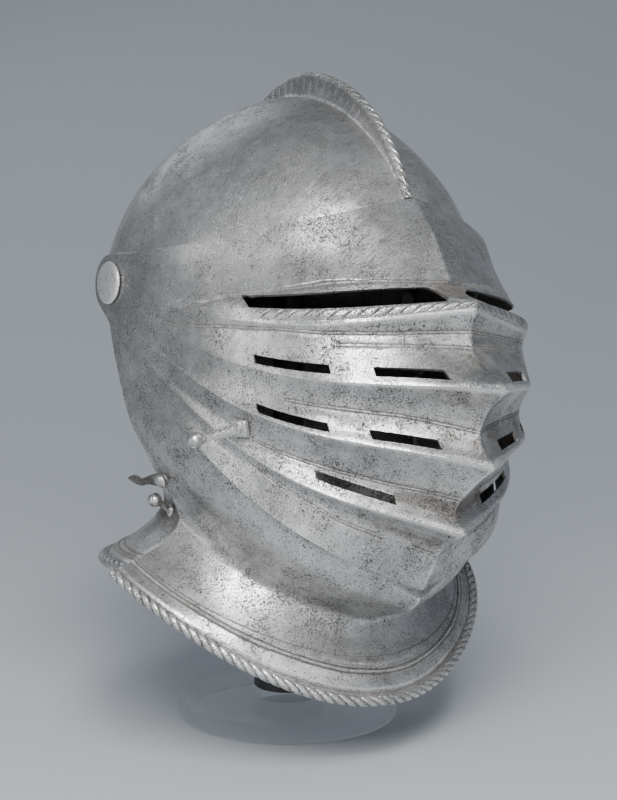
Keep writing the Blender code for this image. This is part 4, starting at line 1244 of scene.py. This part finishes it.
@dataclass
class NeckFastening:
    """The neck hook on the bevor, the rivet that it turns on and the stud on the skull that it catches."""

    stud_place: tuple[float, float] = (0.200, -0.590)
    stud_direction: tuple[float, float, float] = (-10.0, 1.0, 6.0)
    length: float = 0.028
    width: float = 0.0085
    thickness: float = 0.0022
    stud_length: float = 0.012
    stud_ball: float = 0.0040
    hook_shape: tuple[tuple[float, float], ...] = (
        (0.00, 0.50), (0.20, 0.42), (0.45, 0.32), (0.62, 0.50), (0.80, 0.38), (1.00, -0.05),
        (0.86, -0.22), (0.72, -0.30), (0.62, 0.00), (0.50, -0.10), (0.20, -0.42), (0.00, -0.50),
        (-0.12, -0.30), (-0.16, 0.00), (-0.12, 0.30),
    )
    hook_bevel: float = 0.45 * MM
    eye_radius: float = 2.3 * MM
    eye_reach: float = 5 * MM
    corner_cut: float = 0.2
    rivet_depth: float = 2.6 * MM
    stud_depth: float = 4 * MM

    def hook_frame(self, joint: dict) -> Matrix:
        """The hook's frame: origin on its turning line at the bevor, X towards its point, Z outwards."""
        out = -Vector(joint["axis"]).normalized()
        back = HELMET.to_3x3() @ Vector((0, 1, 0))
        back = (back - out * out.dot(back)).normalized()
        frame = Matrix((back, out.cross(back), out)).transposed().to_4x4()
        return Matrix.Translation(Vector(joint["pos_m"])) @ frame

    def build_hook(self, frame: Matrix) -> bpy.types.Object:
        """The leaf-shaped hook with bevelled edges and its eye."""
        bm = bmesh.new()
        outline = self.smooth_outline()
        face = bm.faces.new([bm.verts.new((x, y, 0.0)) for x, y in outline])
        grown = bmesh.ops.extrude_face_region(bm, geom=[face])["geom"]
        corners = [item for item in grown if isinstance(item, bmesh.types.BMVert)]
        bmesh.ops.translate(bm, vec=(0, 0, self.thickness), verts=corners)
        bmesh.ops.recalc_face_normals(bm, faces=bm.faces)
        rims = [edge for edge in bm.edges if edge.calc_face_angle(0) > math.radians(60)]
        bmesh.ops.bevel(bm, geom=rims, offset=self.hook_bevel, segments=3, affect="EDGES")
        mesh = bpy.data.meshes.new("hook_leaf")
        bm.to_mesh(mesh)
        bm.free()
        mesh.transform(frame @ Matrix.Translation((0, 0, FIT)))
        piece = finished("hook_leaf", mesh, 40)
        wide, reach = self.eye_radius, self.eye_reach
        hole = turned("hook_eye", [(0.0, reach), (wide, reach), (wide, -reach), (0.0, -reach)], frame, 40)
        cut = piece.modifiers.new("Eye", "BOOLEAN")
        cut.operation, cut.solver, cut.object = "DIFFERENCE", "EXACT", hole
        apply_modifiers(piece, 40)
        bpy.data.objects.remove(hole)
        mark_relief(piece, 3)
        return piece

    def smooth_outline(self) -> list[tuple[float, float]]:
        """The hook's outline with its corners rounded by one round of corner cutting."""
        knots = [(u * self.length, v * self.width) for u, v in self.hook_shape]
        made: list[tuple[float, float]] = []
        for one, two in zip(knots, knots[1:] + knots[:1]):
            for share in (self.corner_cut, 1 - self.corner_cut):
                made.append((one[0] + (two[0] - one[0]) * share, one[1] + (two[1] - one[1]) * share))
        return made

    def build_rivet(self, frame: Matrix) -> bpy.types.Object:
        """The rivet that the hook turns on, with its domed head."""
        head = self.thickness + FIT * 2
        profile = dome_profile(RIVET_RADIUS * 2.1, RIVET_RADIUS, head)
        profile += [(RIVET_RADIUS, head), (RIVET_RADIUS, -self.rivet_depth), (0.0, -self.rivet_depth)]
        piece = turned("hook_rivet_head", profile, frame, 40)
        mark_relief(piece, 3)
        return piece

    def build_stud(self, skull: bpy.types.Object) -> bpy.types.Object:
        """The ball-headed stud on the skull."""
        point, out = right_side(surface_of(skull), self.stud_place)
        lean = (HELMET.to_3x3() @ Vector(self.stud_direction)).normalized()
        frame = Matrix.Translation(point + out * 0.3 * MM) @ along(out)
        collar_profile = [(0.0, 1.9 * MM), (2.6 * MM, 1.9 * MM), (3.6 * MM, 1.2 * MM), (3.6 * MM, 0.0),
                          (RIVET_RADIUS, 0.0), (RIVET_RADIUS, -self.stud_depth), (0.0, -self.stud_depth)]
        collar = turned("stud_collar", collar_profile, frame, 40)
        profile = ball_profile(self.stud_ball, self.stud_length, RIVET_RADIUS)
        profile += [(RIVET_RADIUS * 0.85, self.stud_length * 0.45), (RIVET_RADIUS * 1.1, 0.0), (0.0, 0.0)]
        ball = turned("stud_ball", profile, Matrix.Translation(point + out * MM) @ along(lean), 40)
        piece = joined("stud", [collar, ball])
        mark_relief(piece, 3)
        return piece


@dataclass
class Stand:
    """The clear disc and column, and the black post with its collar and pad."""

    radius: float = 0.0645
    thickness: float = 0.011
    edge_share: float = 0.35
    column_radius: float = 0.019
    column_height: float = 0.0060
    collar_radius: float = 0.0205
    collar_height: float = 0.007
    post_radius: float = 0.009
    pad_radius: float = 0.030
    pad_rise: float = 0.30
    pad_edge: float = 0.25

    def build_base(self) -> bpy.types.Object:
        """The disc, with its rounded and polished edge."""
        rim = self.thickness * self.edge_share
        arcs = [math.pi / 2 * i / 8 for i in range(9)]
        corner = [(self.radius - rim * (1 - math.sin(a)), -rim * (1 - math.cos(a))) for a in arcs]
        profile = [(0.0, self.thickness)] + [(r, self.thickness + h) for r, h in corner]
        profile += [(r, -h) for r, h in reversed(corner)] + [(0.0, 0.0)]
        return turned("clear_disc", profile, Matrix.Identity(4), 128)

    def build_column(self) -> bpy.types.Object:
        """The clear column on the disc."""
        foot = self.thickness + FIT
        top = foot + self.column_height
        soft = 0.6 * MM
        profile = [(0.0, top), (self.column_radius - soft, top), (self.column_radius, top - soft),
                   (self.column_radius, foot + soft), (self.column_radius - soft, foot), (0.0, foot)]
        return turned("clear_column", profile, Matrix.Identity(4), 96)

    def build_post(self, top: float) -> bpy.types.Object:
        """The post up to its pad, whose highest point is at top."""
        foot = self.thickness + self.column_height + 2 * FIT
        rim = top - self.pad_radius * self.pad_rise
        under = rim - self.pad_radius * self.pad_edge
        soft = 0.7 * MM
        wide, high = self.collar_radius, foot + self.collar_height
        profile = dome_profile(self.pad_radius, self.pad_radius * self.pad_rise, rim, 14)
        profile += [(self.pad_radius, under), (self.post_radius, under - self.post_radius)]
        profile += [(self.post_radius, high), (wide - soft, high), (wide, high - soft), (wide, foot + soft),
                    (wide - soft, foot), (0.0, foot)]
        return turned("black_post", profile, Matrix.Identity(4), 96)


class Graph:
    """Short ways to add and join nodes in one node tree."""

    def __init__(self, tree: bpy.types.NodeTree) -> None:
        """Keeps the tree."""
        self.tree = tree

    def add(self, kind: str, **settings: object) -> bpy.types.Node:
        """Adds a node and sets its properties."""
        node = self.tree.nodes.new(kind)
        for name, value in settings.items():
            setattr(node, name, value)
        return node

    def join(self, source: Socket, target: Socket) -> None:
        """Links an output to an input."""
        self.tree.links.new(source, target)

    def feed(self, target: Socket, value: Union[Socket, float, Sequence[float]]) -> None:
        """Links a socket to an input, or sets the input's own value."""
        if isinstance(value, bpy.types.NodeSocket):
            self.join(value, target)
        else:
            target.default_value = value

    def maths(self, operation: str, *values: Union[Socket, float], clamp: bool = False) -> Socket:
        """The output of a Math node."""
        node = self.add("ShaderNodeMath", operation=operation, use_clamp=clamp)
        for target, value in zip(node.inputs, values):
            self.feed(target, value)
        return node.outputs[0]

    def ramp(self, value: Socket, low: float, high: float, to_low: float = 0.0,
             to_high: float = 1.0) -> Socket:
        """A smooth step of a value from low to high."""
        node = self.add("ShaderNodeMapRange", interpolation_type="SMOOTHSTEP")
        ends = {"From Min": low, "From Max": high, "To Min": to_low, "To Max": to_high}
        for name, number in ends.items():
            node.inputs[name].default_value = number
        self.join(value, node.inputs["Value"])
        return node.outputs["Result"]

    def noise(self, place: Socket, scale: Union[Socket, float], detail: float = 4.0,
              rough: float = 0.6) -> Socket:
        """The value of a Noise Texture."""
        node = self.add("ShaderNodeTexNoise")
        self.join(place, node.inputs["Vector"])
        self.feed(node.inputs["Scale"], scale)
        node.inputs["Detail"].default_value = detail
        node.inputs["Roughness"].default_value = rough
        return node.outputs["Fac"]

    def blend(self, share: Union[Socket, float], one: Union[Socket, Sequence[float]],
              two: Union[Socket, Sequence[float]]) -> Socket:
        """A colour between two colours."""
        node = self.add("ShaderNodeMix", data_type="RGBA")
        self.feed(node.inputs[0], share)
        self.feed(node.inputs[6], one)
        self.feed(node.inputs[7], two)
        return node.outputs[2]

    def group(self, tree: bpy.types.NodeTree, place: Optional[Socket] = None,
              **values: float) -> bpy.types.Node:
        """Adds a group node with its inputs set."""
        node = self.add("ShaderNodeGroup", node_tree=tree)
        if place is not None:
            self.join(place, node.inputs["Place"])
        for name, value in values.items():
            self.feed(node.inputs[name], value)
        return node


def new_group(name: str, inputs: Sequence[tuple[str, str, float]],
              outputs: Sequence[str]) -> tuple[Graph, dict, dict]:
    """An empty node group.

    Args:
        name: name of the group.
        inputs: name, socket type and default value of each input.
        outputs: names of the float outputs.

    Returns:
        The group's graph, its input sockets by name and its output sockets by name.
    """
    tree = bpy.data.node_groups.new(name, "ShaderNodeTree")
    for label, kind, value in inputs:
        socket = tree.interface.new_socket(label, in_out="INPUT", socket_type=kind)
        if kind == "NodeSocketFloat":
            socket.default_value = value
    for label in outputs:
        tree.interface.new_socket(label, in_out="OUTPUT", socket_type="NodeSocketFloat")
    graph = Graph(tree)
    entry, leave = graph.add("NodeGroupInput"), graph.add("NodeGroupOutput")
    return graph, dict(entry.outputs.items()), dict(leave.inputs.items())


def pitting_group() -> bpy.types.NodeTree:
    """Corrosion pits: dark specks of several sizes that crowd together in places.

    Outputs:
        Pits: 1 in a pit. Height: 0 on the plate and -1 at the bottom of a pit.
    """
    graph, given, out = new_group(
        "pitting", [("Place", "NodeSocketVector", 0.0), ("Scale", "NodeSocketFloat", 900.0),
                    ("Cover", "NodeSocketFloat", 0.5)], ["Pits", "Height"])
    crowd = graph.ramp(graph.noise(given["Place"], 60.0, 5.0, 0.65), 0.34, 0.68)
    edge = graph.maths("SUBTRACT", 0.735, graph.maths("MULTIPLY", given["Cover"], 0.20))
    edge = graph.maths("SUBTRACT", edge, graph.maths("MULTIPLY", crowd, 0.075))
    masks = []
    for share, detail, rise in ((0.40, 3.0, 0.055), (0.75, 2.5, 0.012), (1.3, 2.0, 0.0)):
        grain = graph.noise(given["Place"], graph.maths("MULTIPLY", given["Scale"], share), detail, 0.62)
        over = graph.maths("SUBTRACT", grain, graph.maths("ADD", edge, rise))
        masks.append(graph.maths("MULTIPLY", over, 14.0, clamp=True))
    pits = graph.maths("MAXIMUM", graph.maths("MAXIMUM", masks[0], masks[1]), masks[2])
    graph.join(pits, out["Pits"])
    graph.join(graph.maths("MULTIPLY", pits, -1.0), out["Height"])
    return graph.tree


def patina_group() -> bpy.types.NodeTree:
    """Slow changes of tone over polished steel.

    Outputs:
        Tone: 0 to 1, cloudy. Stain: patches of brown. Smear: fine scratches and wiping marks.
    """
    graph, given, out = new_group(
        "patina", [("Place", "NodeSocketVector", 0.0), ("Stain", "NodeSocketFloat", 0.5)],
        ["Tone", "Stain", "Smear"])
    broad = graph.noise(given["Place"], 22.0, 4.0, 0.55)
    fine = graph.noise(given["Place"], 150.0, 4.0, 0.65)
    tone = graph.maths("ADD", graph.maths("MULTIPLY", broad, 0.6), graph.maths("MULTIPLY", fine, 0.4))
    graph.join(graph.ramp(tone, 0.36, 0.64), out["Tone"])
    patch = graph.noise(given["Place"], 38.0, 6.0, 0.7)
    level = graph.maths("SUBTRACT", 0.78, graph.maths("MULTIPLY", given["Stain"], 0.3))
    edge = graph.maths("SUBTRACT", patch, level)
    graph.join(graph.maths("MULTIPLY", edge, 6.0, clamp=True), out["Stain"])
    stretch = graph.add("ShaderNodeMapping")
    stretch.inputs["Scale"].default_value = (60.0, 900.0, 240.0)
    stretch.inputs["Rotation"].default_value = (0.4, 0.2, 0.9)
    graph.join(given["Place"], stretch.inputs["Vector"])
    graph.join(graph.ramp(graph.noise(stretch.outputs[0], 1.0, 3.0, 0.6), 0.35, 0.65), out["Smear"])
    return graph.tree


def wear_and_shading_group() -> bpy.types.NodeTree:
    """Where ridges get rubbed wear with a painted highlight, and where recesses get dirt with painted
    shade.

    Outputs:
        Bright: 1 on ridges, for rubbed wear and a painted highlight. Second output: 1 in recesses, for dirt
            and painted shade.
    """
    graph, given, out = new_group("wear_and_shading", [("Place", "NodeSocketVector", 0.0)], ["Bright", "DirtAndShade"])
    relief = graph.add("ShaderNodeAttribute", attribute_name="relief").outputs["Fac"]
    grain = graph.noise(given["Place"], 260.0, 4.0, 0.7)
    rough = graph.maths("MULTIPLY", graph.maths("SUBTRACT", grain, 0.5), 0.7)
    mark = graph.maths("ADD", relief, rough)
    # painted highlight together with rubbed wear on ridges
    graph.join(graph.ramp(mark, 0.30, 1.10), out["Bright"])
    # painted shade together with dirt in recesses and on the plates' inner walls
    graph.join(graph.ramp(graph.maths("MULTIPLY", mark, -1.0), 0.25, 0.80), out["DirtAndShade"])
    return graph.tree


@dataclass(frozen=True)
class SteelFinish:
    """Aged, once polished steel: pitted and stained, with dirt and painted shade in recesses and rubbed
    wear and a painted highlight on ridges.
    """

    name: str
    light: Colour
    dull: Colour
    pit: Colour
    # colour of the brown stains, also used as the painted shade in recesses
    stain_and_shade: Colour
    roughness: float
    pit_scale: float
    pit_cover: float
    stain_amount: float
    bump: float
    bump_depth: float = 0.3 * MM

    def material(self, pitting: bpy.types.NodeTree, patina: bpy.types.NodeTree,
                 wear_and_shading: bpy.types.NodeTree) -> bpy.types.Material:
        """The finish as a material.

        Args:
            pitting: group of corrosion pits.
            patina: group of tones and stains.
            wear_and_shading: group of rubbed ridges with a painted highlight, and dirty recesses with
                painted shade.

        Returns:
            The material.
        """
        made = bpy.data.materials.new(self.name)
        made.use_nodes = True
        graph = Graph(made.node_tree)
        shader = made.node_tree.nodes["Principled BSDF"]
        place = graph.add("ShaderNodeTexCoord").outputs["Object"]
        pits = graph.group(pitting, place, Scale=self.pit_scale, Cover=self.pit_cover).outputs
        tones = graph.group(patina, place, Stain=self.stain_amount).outputs
        marks = graph.group(wear_and_shading, place).outputs
        base = graph.blend(tones["Tone"], (*self.dull, 1.0), (*self.light, 1.0))
        base = graph.blend(graph.maths("MULTIPLY", tones["Stain"], 0.55), base, (*self.stain_and_shade, 1.0))
        # painted shade in recesses and on the plates' inner walls, together with dirt: drawn towards the
        # stain colour
        base = graph.blend(graph.maths("MULTIPLY", marks["DirtAndShade"], 0.8), base, (*self.stain_and_shade, 1.0))
        base = graph.blend(graph.maths("MULTIPLY", pits["Pits"], 0.9), base, (*self.pit, 1.0))
        # painted highlight on ridges, together with rubbed wear: a lighter steel colour
        bright = tuple(min(1.0, part * 1.35) for part in self.light)
        base = graph.blend(graph.maths("MULTIPLY", marks["Bright"], 0.6), base, (*bright, 1.0))
        graph.join(base, shader.inputs["Base Color"])
        rough = graph.maths("MULTIPLY_ADD", tones["Smear"], 0.10, self.roughness)
        rough = graph.maths("MULTIPLY_ADD", pits["Pits"], 0.30, rough)
        rough = graph.maths("MULTIPLY_ADD", marks["DirtAndShade"], 0.25, rough)
        rough = graph.maths("MULTIPLY_ADD", tones["Stain"], 0.12, rough)
        graph.join(graph.maths("MULTIPLY_ADD", marks["Bright"], -0.10, rough), shader.inputs["Roughness"])
        # the painted shade and dirt in recesses also make them less metallic
        metal = graph.maths("MULTIPLY_ADD", marks["DirtAndShade"], -0.5, 1.0)
        metal = graph.maths("MULTIPLY_ADD", pits["Pits"], -0.35, metal, clamp=True)
        graph.join(metal, shader.inputs["Metallic"])
        height = graph.maths("MULTIPLY_ADD", tones["Tone"], 0.5, pits["Height"])
        bump = graph.add("ShaderNodeBump")
        bump.inputs["Strength"].default_value = self.bump
        bump.inputs["Distance"].default_value = self.bump_depth
        graph.join(height, bump.inputs["Height"])
        graph.join(bump.outputs[0], shader.inputs["Normal"])
        return made


@dataclass(frozen=True)
class ClearFinish:
    """Clear cast acrylic with faint wiping marks."""

    name: str = "clear_acrylic_polished"
    colour: Colour = (0.955, 0.97, 0.968)
    wiped: Colour = (0.985, 0.99, 0.99)
    ior: float = 1.49
    clear: float = 0.05
    edge: float = 0.80

    def material(self) -> bpy.types.Material:
        """The finish as a material."""
        made = bpy.data.materials.new(self.name)
        made.use_nodes = True
        graph = Graph(made.node_tree)
        shader = made.node_tree.nodes["Principled BSDF"]
        shader.inputs["Transmission Weight"].default_value = 1.0
        shader.inputs["IOR"].default_value = self.ior
        facing = graph.add("ShaderNodeLayerWeight")
        facing.inputs["Blend"].default_value = 0.35
        solid = graph.ramp(facing.outputs["Facing"], 0.25, 1.0, self.clear, self.edge)
        graph.join(solid, shader.inputs["Alpha"])
        place = graph.add("ShaderNodeTexCoord").outputs["Object"]
        haze = graph.noise(place, 60.0, 5.0, 0.6)
        graph.join(graph.ramp(haze, 0.3, 0.8, 0.01, 0.055), shader.inputs["Roughness"])
        cloud = graph.noise(place, 18.0, 2.0, 0.5)
        graph.join(graph.blend(cloud, (*self.colour, 1.0), (*self.wiped, 1.0)), shader.inputs["Base Color"])
        return made


@dataclass(frozen=True)
class BlackFinish:
    """Black moulded plastic with a fine grain."""

    name: str = "black_plastic_grained"
    colour: Colour = (0.012, 0.012, 0.013)
    grain_colour: Colour = (0.03, 0.03, 0.031)
    bump: float = 0.25
    bump_depth: float = 0.1 * MM

    def material(self) -> bpy.types.Material:
        """The finish as a material."""
        made = bpy.data.materials.new(self.name)
        made.use_nodes = True
        graph = Graph(made.node_tree)
        shader = made.node_tree.nodes["Principled BSDF"]
        place = graph.add("ShaderNodeTexCoord").outputs["Object"]
        grain = graph.noise(place, 1400.0, 3.0, 0.6)
        tint = graph.blend(grain, (*self.colour, 1.0), (*self.grain_colour, 1.0))
        graph.join(tint, shader.inputs["Base Color"])
        graph.join(graph.ramp(graph.noise(place, 70.0), 0.3, 0.7, 0.38, 0.52), shader.inputs["Roughness"])
        bump = graph.add("ShaderNodeBump")
        bump.inputs["Strength"].default_value = self.bump
        bump.inputs["Distance"].default_value = self.bump_depth
        graph.join(grain, bump.inputs["Height"])
        graph.join(bump.outputs[0], shader.inputs["Normal"])
        return made


@dataclass(frozen=True)
class AreaLight:
    """One soft light: where it stands, what it faces, its size and its power."""

    name: str
    place: tuple[float, float, float]
    size: tuple[float, float]
    power: float
    colour: Colour = (1.0, 1.0, 1.0)

    def add(self, target: Vector) -> None:
        """Puts the light in the scene."""
        data = bpy.data.lights.new(self.name, "AREA")
        data.shape = "RECTANGLE"
        data.size, data.size_y = self.size
        data.energy = self.power
        data.color = self.colour
        made = bpy.data.objects.new(self.name, data)
        made.location = self.place
        made.rotation_euler = (target - made.location).to_track_quat("-Z", "Y").to_euler()
        bpy.context.scene.collection.objects.link(made)


@dataclass
class Studio:
    """The pale floor, the lights and the camera."""

    camera_way: tuple[float, float, float] = (-0.568, -0.811, 0.139)
    camera_target: tuple[float, float, float] = (-0.001, -0.022, 0.190)
    camera_distance: float = 1.1
    focal_pixels: float = 1925.0
    picture_height: float = 800.0
    floor_colour: Colour = (0.50, 0.53, 0.56)
    floor_reach: float = 6.0
    floor_depth: float = 0.55
    floor_bend: float = 2.6
    light_target: tuple[float, float, float] = (0.0, -0.01, 0.2)
    lights: tuple[AreaLight, ...] = (
        AreaLight("key", (-0.84, -1.08, 1.14), (0.70, 0.70), 25.0),
        AreaLight("brow_soft", (-0.42, -0.92, 1.42), (0.55, 0.55), 13.0),
        AreaLight("front_fill", (-0.35, -1.9, 0.55), (1.5, 0.9), 8.0),
        AreaLight("rim", (0.2, 1.7, 1.3), (1.2, 0.8), 3.0, (0.93, 0.96, 1.0)),
        AreaLight("right_fill", (-1.5, 0.05, 0.35), (0.6, 0.9), 4.0),
    )
    sky: Colour = (0.80, 0.88, 1.0)
    sky_strength: float = 0.27

    def build(self) -> None:
        """Adds the floor, the lights and the camera."""
        self.add_floor()
        self.add_camera()
        for light in self.lights:
            light.add(Vector(self.light_target))
        world = bpy.data.worlds.new("studio")
        world.use_nodes = True
        back = world.node_tree.nodes["Background"]
        back.inputs["Color"].default_value = (*self.sky, 1.0)
        back.inputs["Strength"].default_value = self.sky_strength
        bpy.context.scene.world = world

    def add_floor(self) -> None:
        """A pale floor that sweeps up behind into a backdrop."""
        start, bend, reach = self.floor_depth, self.floor_bend, self.floor_reach
        arc = np.linspace(0.06, math.pi / 2, 24)
        profile = [(-reach, 0.0), (start, 0.0)]
        profile += [(start + bend * math.sin(turn), bend * (1 - math.cos(turn))) for turn in arc]
        profile += [(start + bend, reach)]
        vertices = [(x, y, z) for y, z in profile for x in (-reach, reach)]
        faces = [(2 * i, 2 * i + 1, 2 * i + 3, 2 * i + 2) for i in range(len(profile) - 1)]
        mesh = bpy.data.meshes.new("floor_sweep")
        mesh.from_pydata(vertices, [], faces)
        mesh.shade_smooth()
        floor = bpy.data.objects.new("floor_sweep", mesh)
        floor.rotation_euler = (0, 0, -math.atan2(-self.camera_way[0], -self.camera_way[1]))
        bpy.context.scene.collection.objects.link(floor)
        paint = bpy.data.materials.new("floor_paint")
        paint.use_nodes = True
        graph = Graph(paint.node_tree)
        shader = paint.node_tree.nodes["Principled BSDF"]
        place = graph.add("ShaderNodeTexCoord").outputs["Object"]
        shade = graph.noise(place, 3.0, 3.0, 0.5)
        low = tuple(part * 0.985 for part in self.floor_colour)
        graph.join(graph.blend(shade, (*low, 1.0), (*self.floor_colour, 1.0)), shader.inputs["Base Color"])
        shader.inputs["Roughness"].default_value = 0.6
        mesh.materials.append(paint)

    def add_camera(self) -> None:
        """The camera at the photograph's viewing angle."""
        data = bpy.data.cameras.new("camera")
        data.sensor_fit = "VERTICAL"
        data.sensor_height = 36.0
        data.lens = 36.0 * self.focal_pixels / self.picture_height
        data.clip_start, data.clip_end = 0.05, 50.0
        camera = bpy.data.objects.new("camera", data)
        target, way = Vector(self.camera_target), Vector(self.camera_way).normalized()
        camera.location = target + way * self.camera_distance
        camera.rotation_euler = (-way).to_track_quat("-Z", "Y").to_euler()
        bpy.context.scene.collection.objects.link(camera)
        bpy.context.scene.camera = camera


PLATE_FINISH = SteelFinish(
    "pitted_plate", (0.72, 0.715, 0.70), (0.46, 0.455, 0.445), (0.022, 0.020, 0.018), (0.12, 0.10, 0.085),
    0.27, 1500.0, 0.74, 0.20, 0.5)
FITTING_FINISH = SteelFinish(
    "dull_fitting", (0.70, 0.69, 0.67), (0.47, 0.46, 0.45), (0.04, 0.037, 0.034), (0.14, 0.11, 0.085),
    0.26, 1500.0, 0.55, 0.30, 0.4)
PIVOT_FINISH = SteelFinish(
    "pale_pivot", (0.92, 0.91, 0.89), (0.80, 0.79, 0.77), (0.06, 0.045, 0.035), (0.30, 0.22, 0.15),
    0.42, 1100.0, 0.60, 0.55, 0.5)
DARK_FINISH = SteelFinish(
    "dark_hook", (0.30, 0.285, 0.27), (0.17, 0.16, 0.15), (0.03, 0.027, 0.025), (0.09, 0.07, 0.055),
    0.36, 1300.0, 0.8, 0.6, 0.6)


def main() -> None:
    """Loads the frame, builds every piece in order and sets the studio up."""
    logging.basicConfig(level=logging.INFO, format="%(message)s")
    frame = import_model()
    Studio().build()
    groups = pitting_group(), patina_group(), wear_and_shading_group()
    plate = PLATE_FINISH.material(*groups)
    fitting = FITTING_FINISH.material(*groups)
    pale = PIVOT_FINISH.material(*groups)
    dark = DARK_FINISH.material(*groups)
    clear = ClearFinish().material()
    black = BlackFinish().material()

    skull = Skull()
    skull_plate = skull.build()
    dress(skull_plate, Body.SKULL, Slot.PLATE, plate, "skull")
    dress(skull.build_comb(), Body.SKULL, Slot.PLATE, plate)
    dress(skull.build_roll(), Body.SKULL, Slot.PLATE, plate)

    bevor = Bevor()
    dress(bevor.build(), Body.BEVOR, Slot.PLATE, plate, "bevor")
    dress(bevor.build_roll(), Body.BEVOR, Slot.PLATE, plate)

    visor = Visor()
    visor_plate = visor.build()
    dress(visor_plate, Body.VISOR, Slot.PLATE, plate, "visor")
    dress(visor.build_lip(), Body.VISOR, Slot.PLATE, plate)
    dress(Peg().build(visor_plate), Body.VISOR, Slot.FITTING, fitting, "lifting_peg")

    pivots = Pivots()
    for side, word in ((-1, "right"), (1, "left")):
        dress(pivots.build(side, word), Body.SKULL, Slot.FITTING, pale, "pivot_" + word)

    fastening = NeckFastening()
    joint = next(item for item in frame["record"]["behaviour"]["joints"] if item["name"] == "hook_turn")
    hook_frame = fastening.hook_frame(joint)
    dress(fastening.build_hook(hook_frame), Body.HOOK, Slot.FITTING, dark, "neck_hook")
    dress(fastening.build_rivet(hook_frame), Body.BEVOR, Slot.FITTING, fitting, "hook_rivet")
    dress(fastening.build_stud(skull_plate), Body.SKULL, Slot.FITTING, fitting, "hook_stud")

    stand = Stand()
    dress(stand.build_base(), Body.SKULL, Slot.CLEAR, clear, "stand_base")
    dress(stand.build_column(), Body.SKULL, Slot.CLEAR, clear, "stand_column")
    dress(stand.build_post(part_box("stand_post")[1][2]), Body.SKULL, Slot.BLACK, black, "stand_post")


if __name__ == "__main__":
    main()
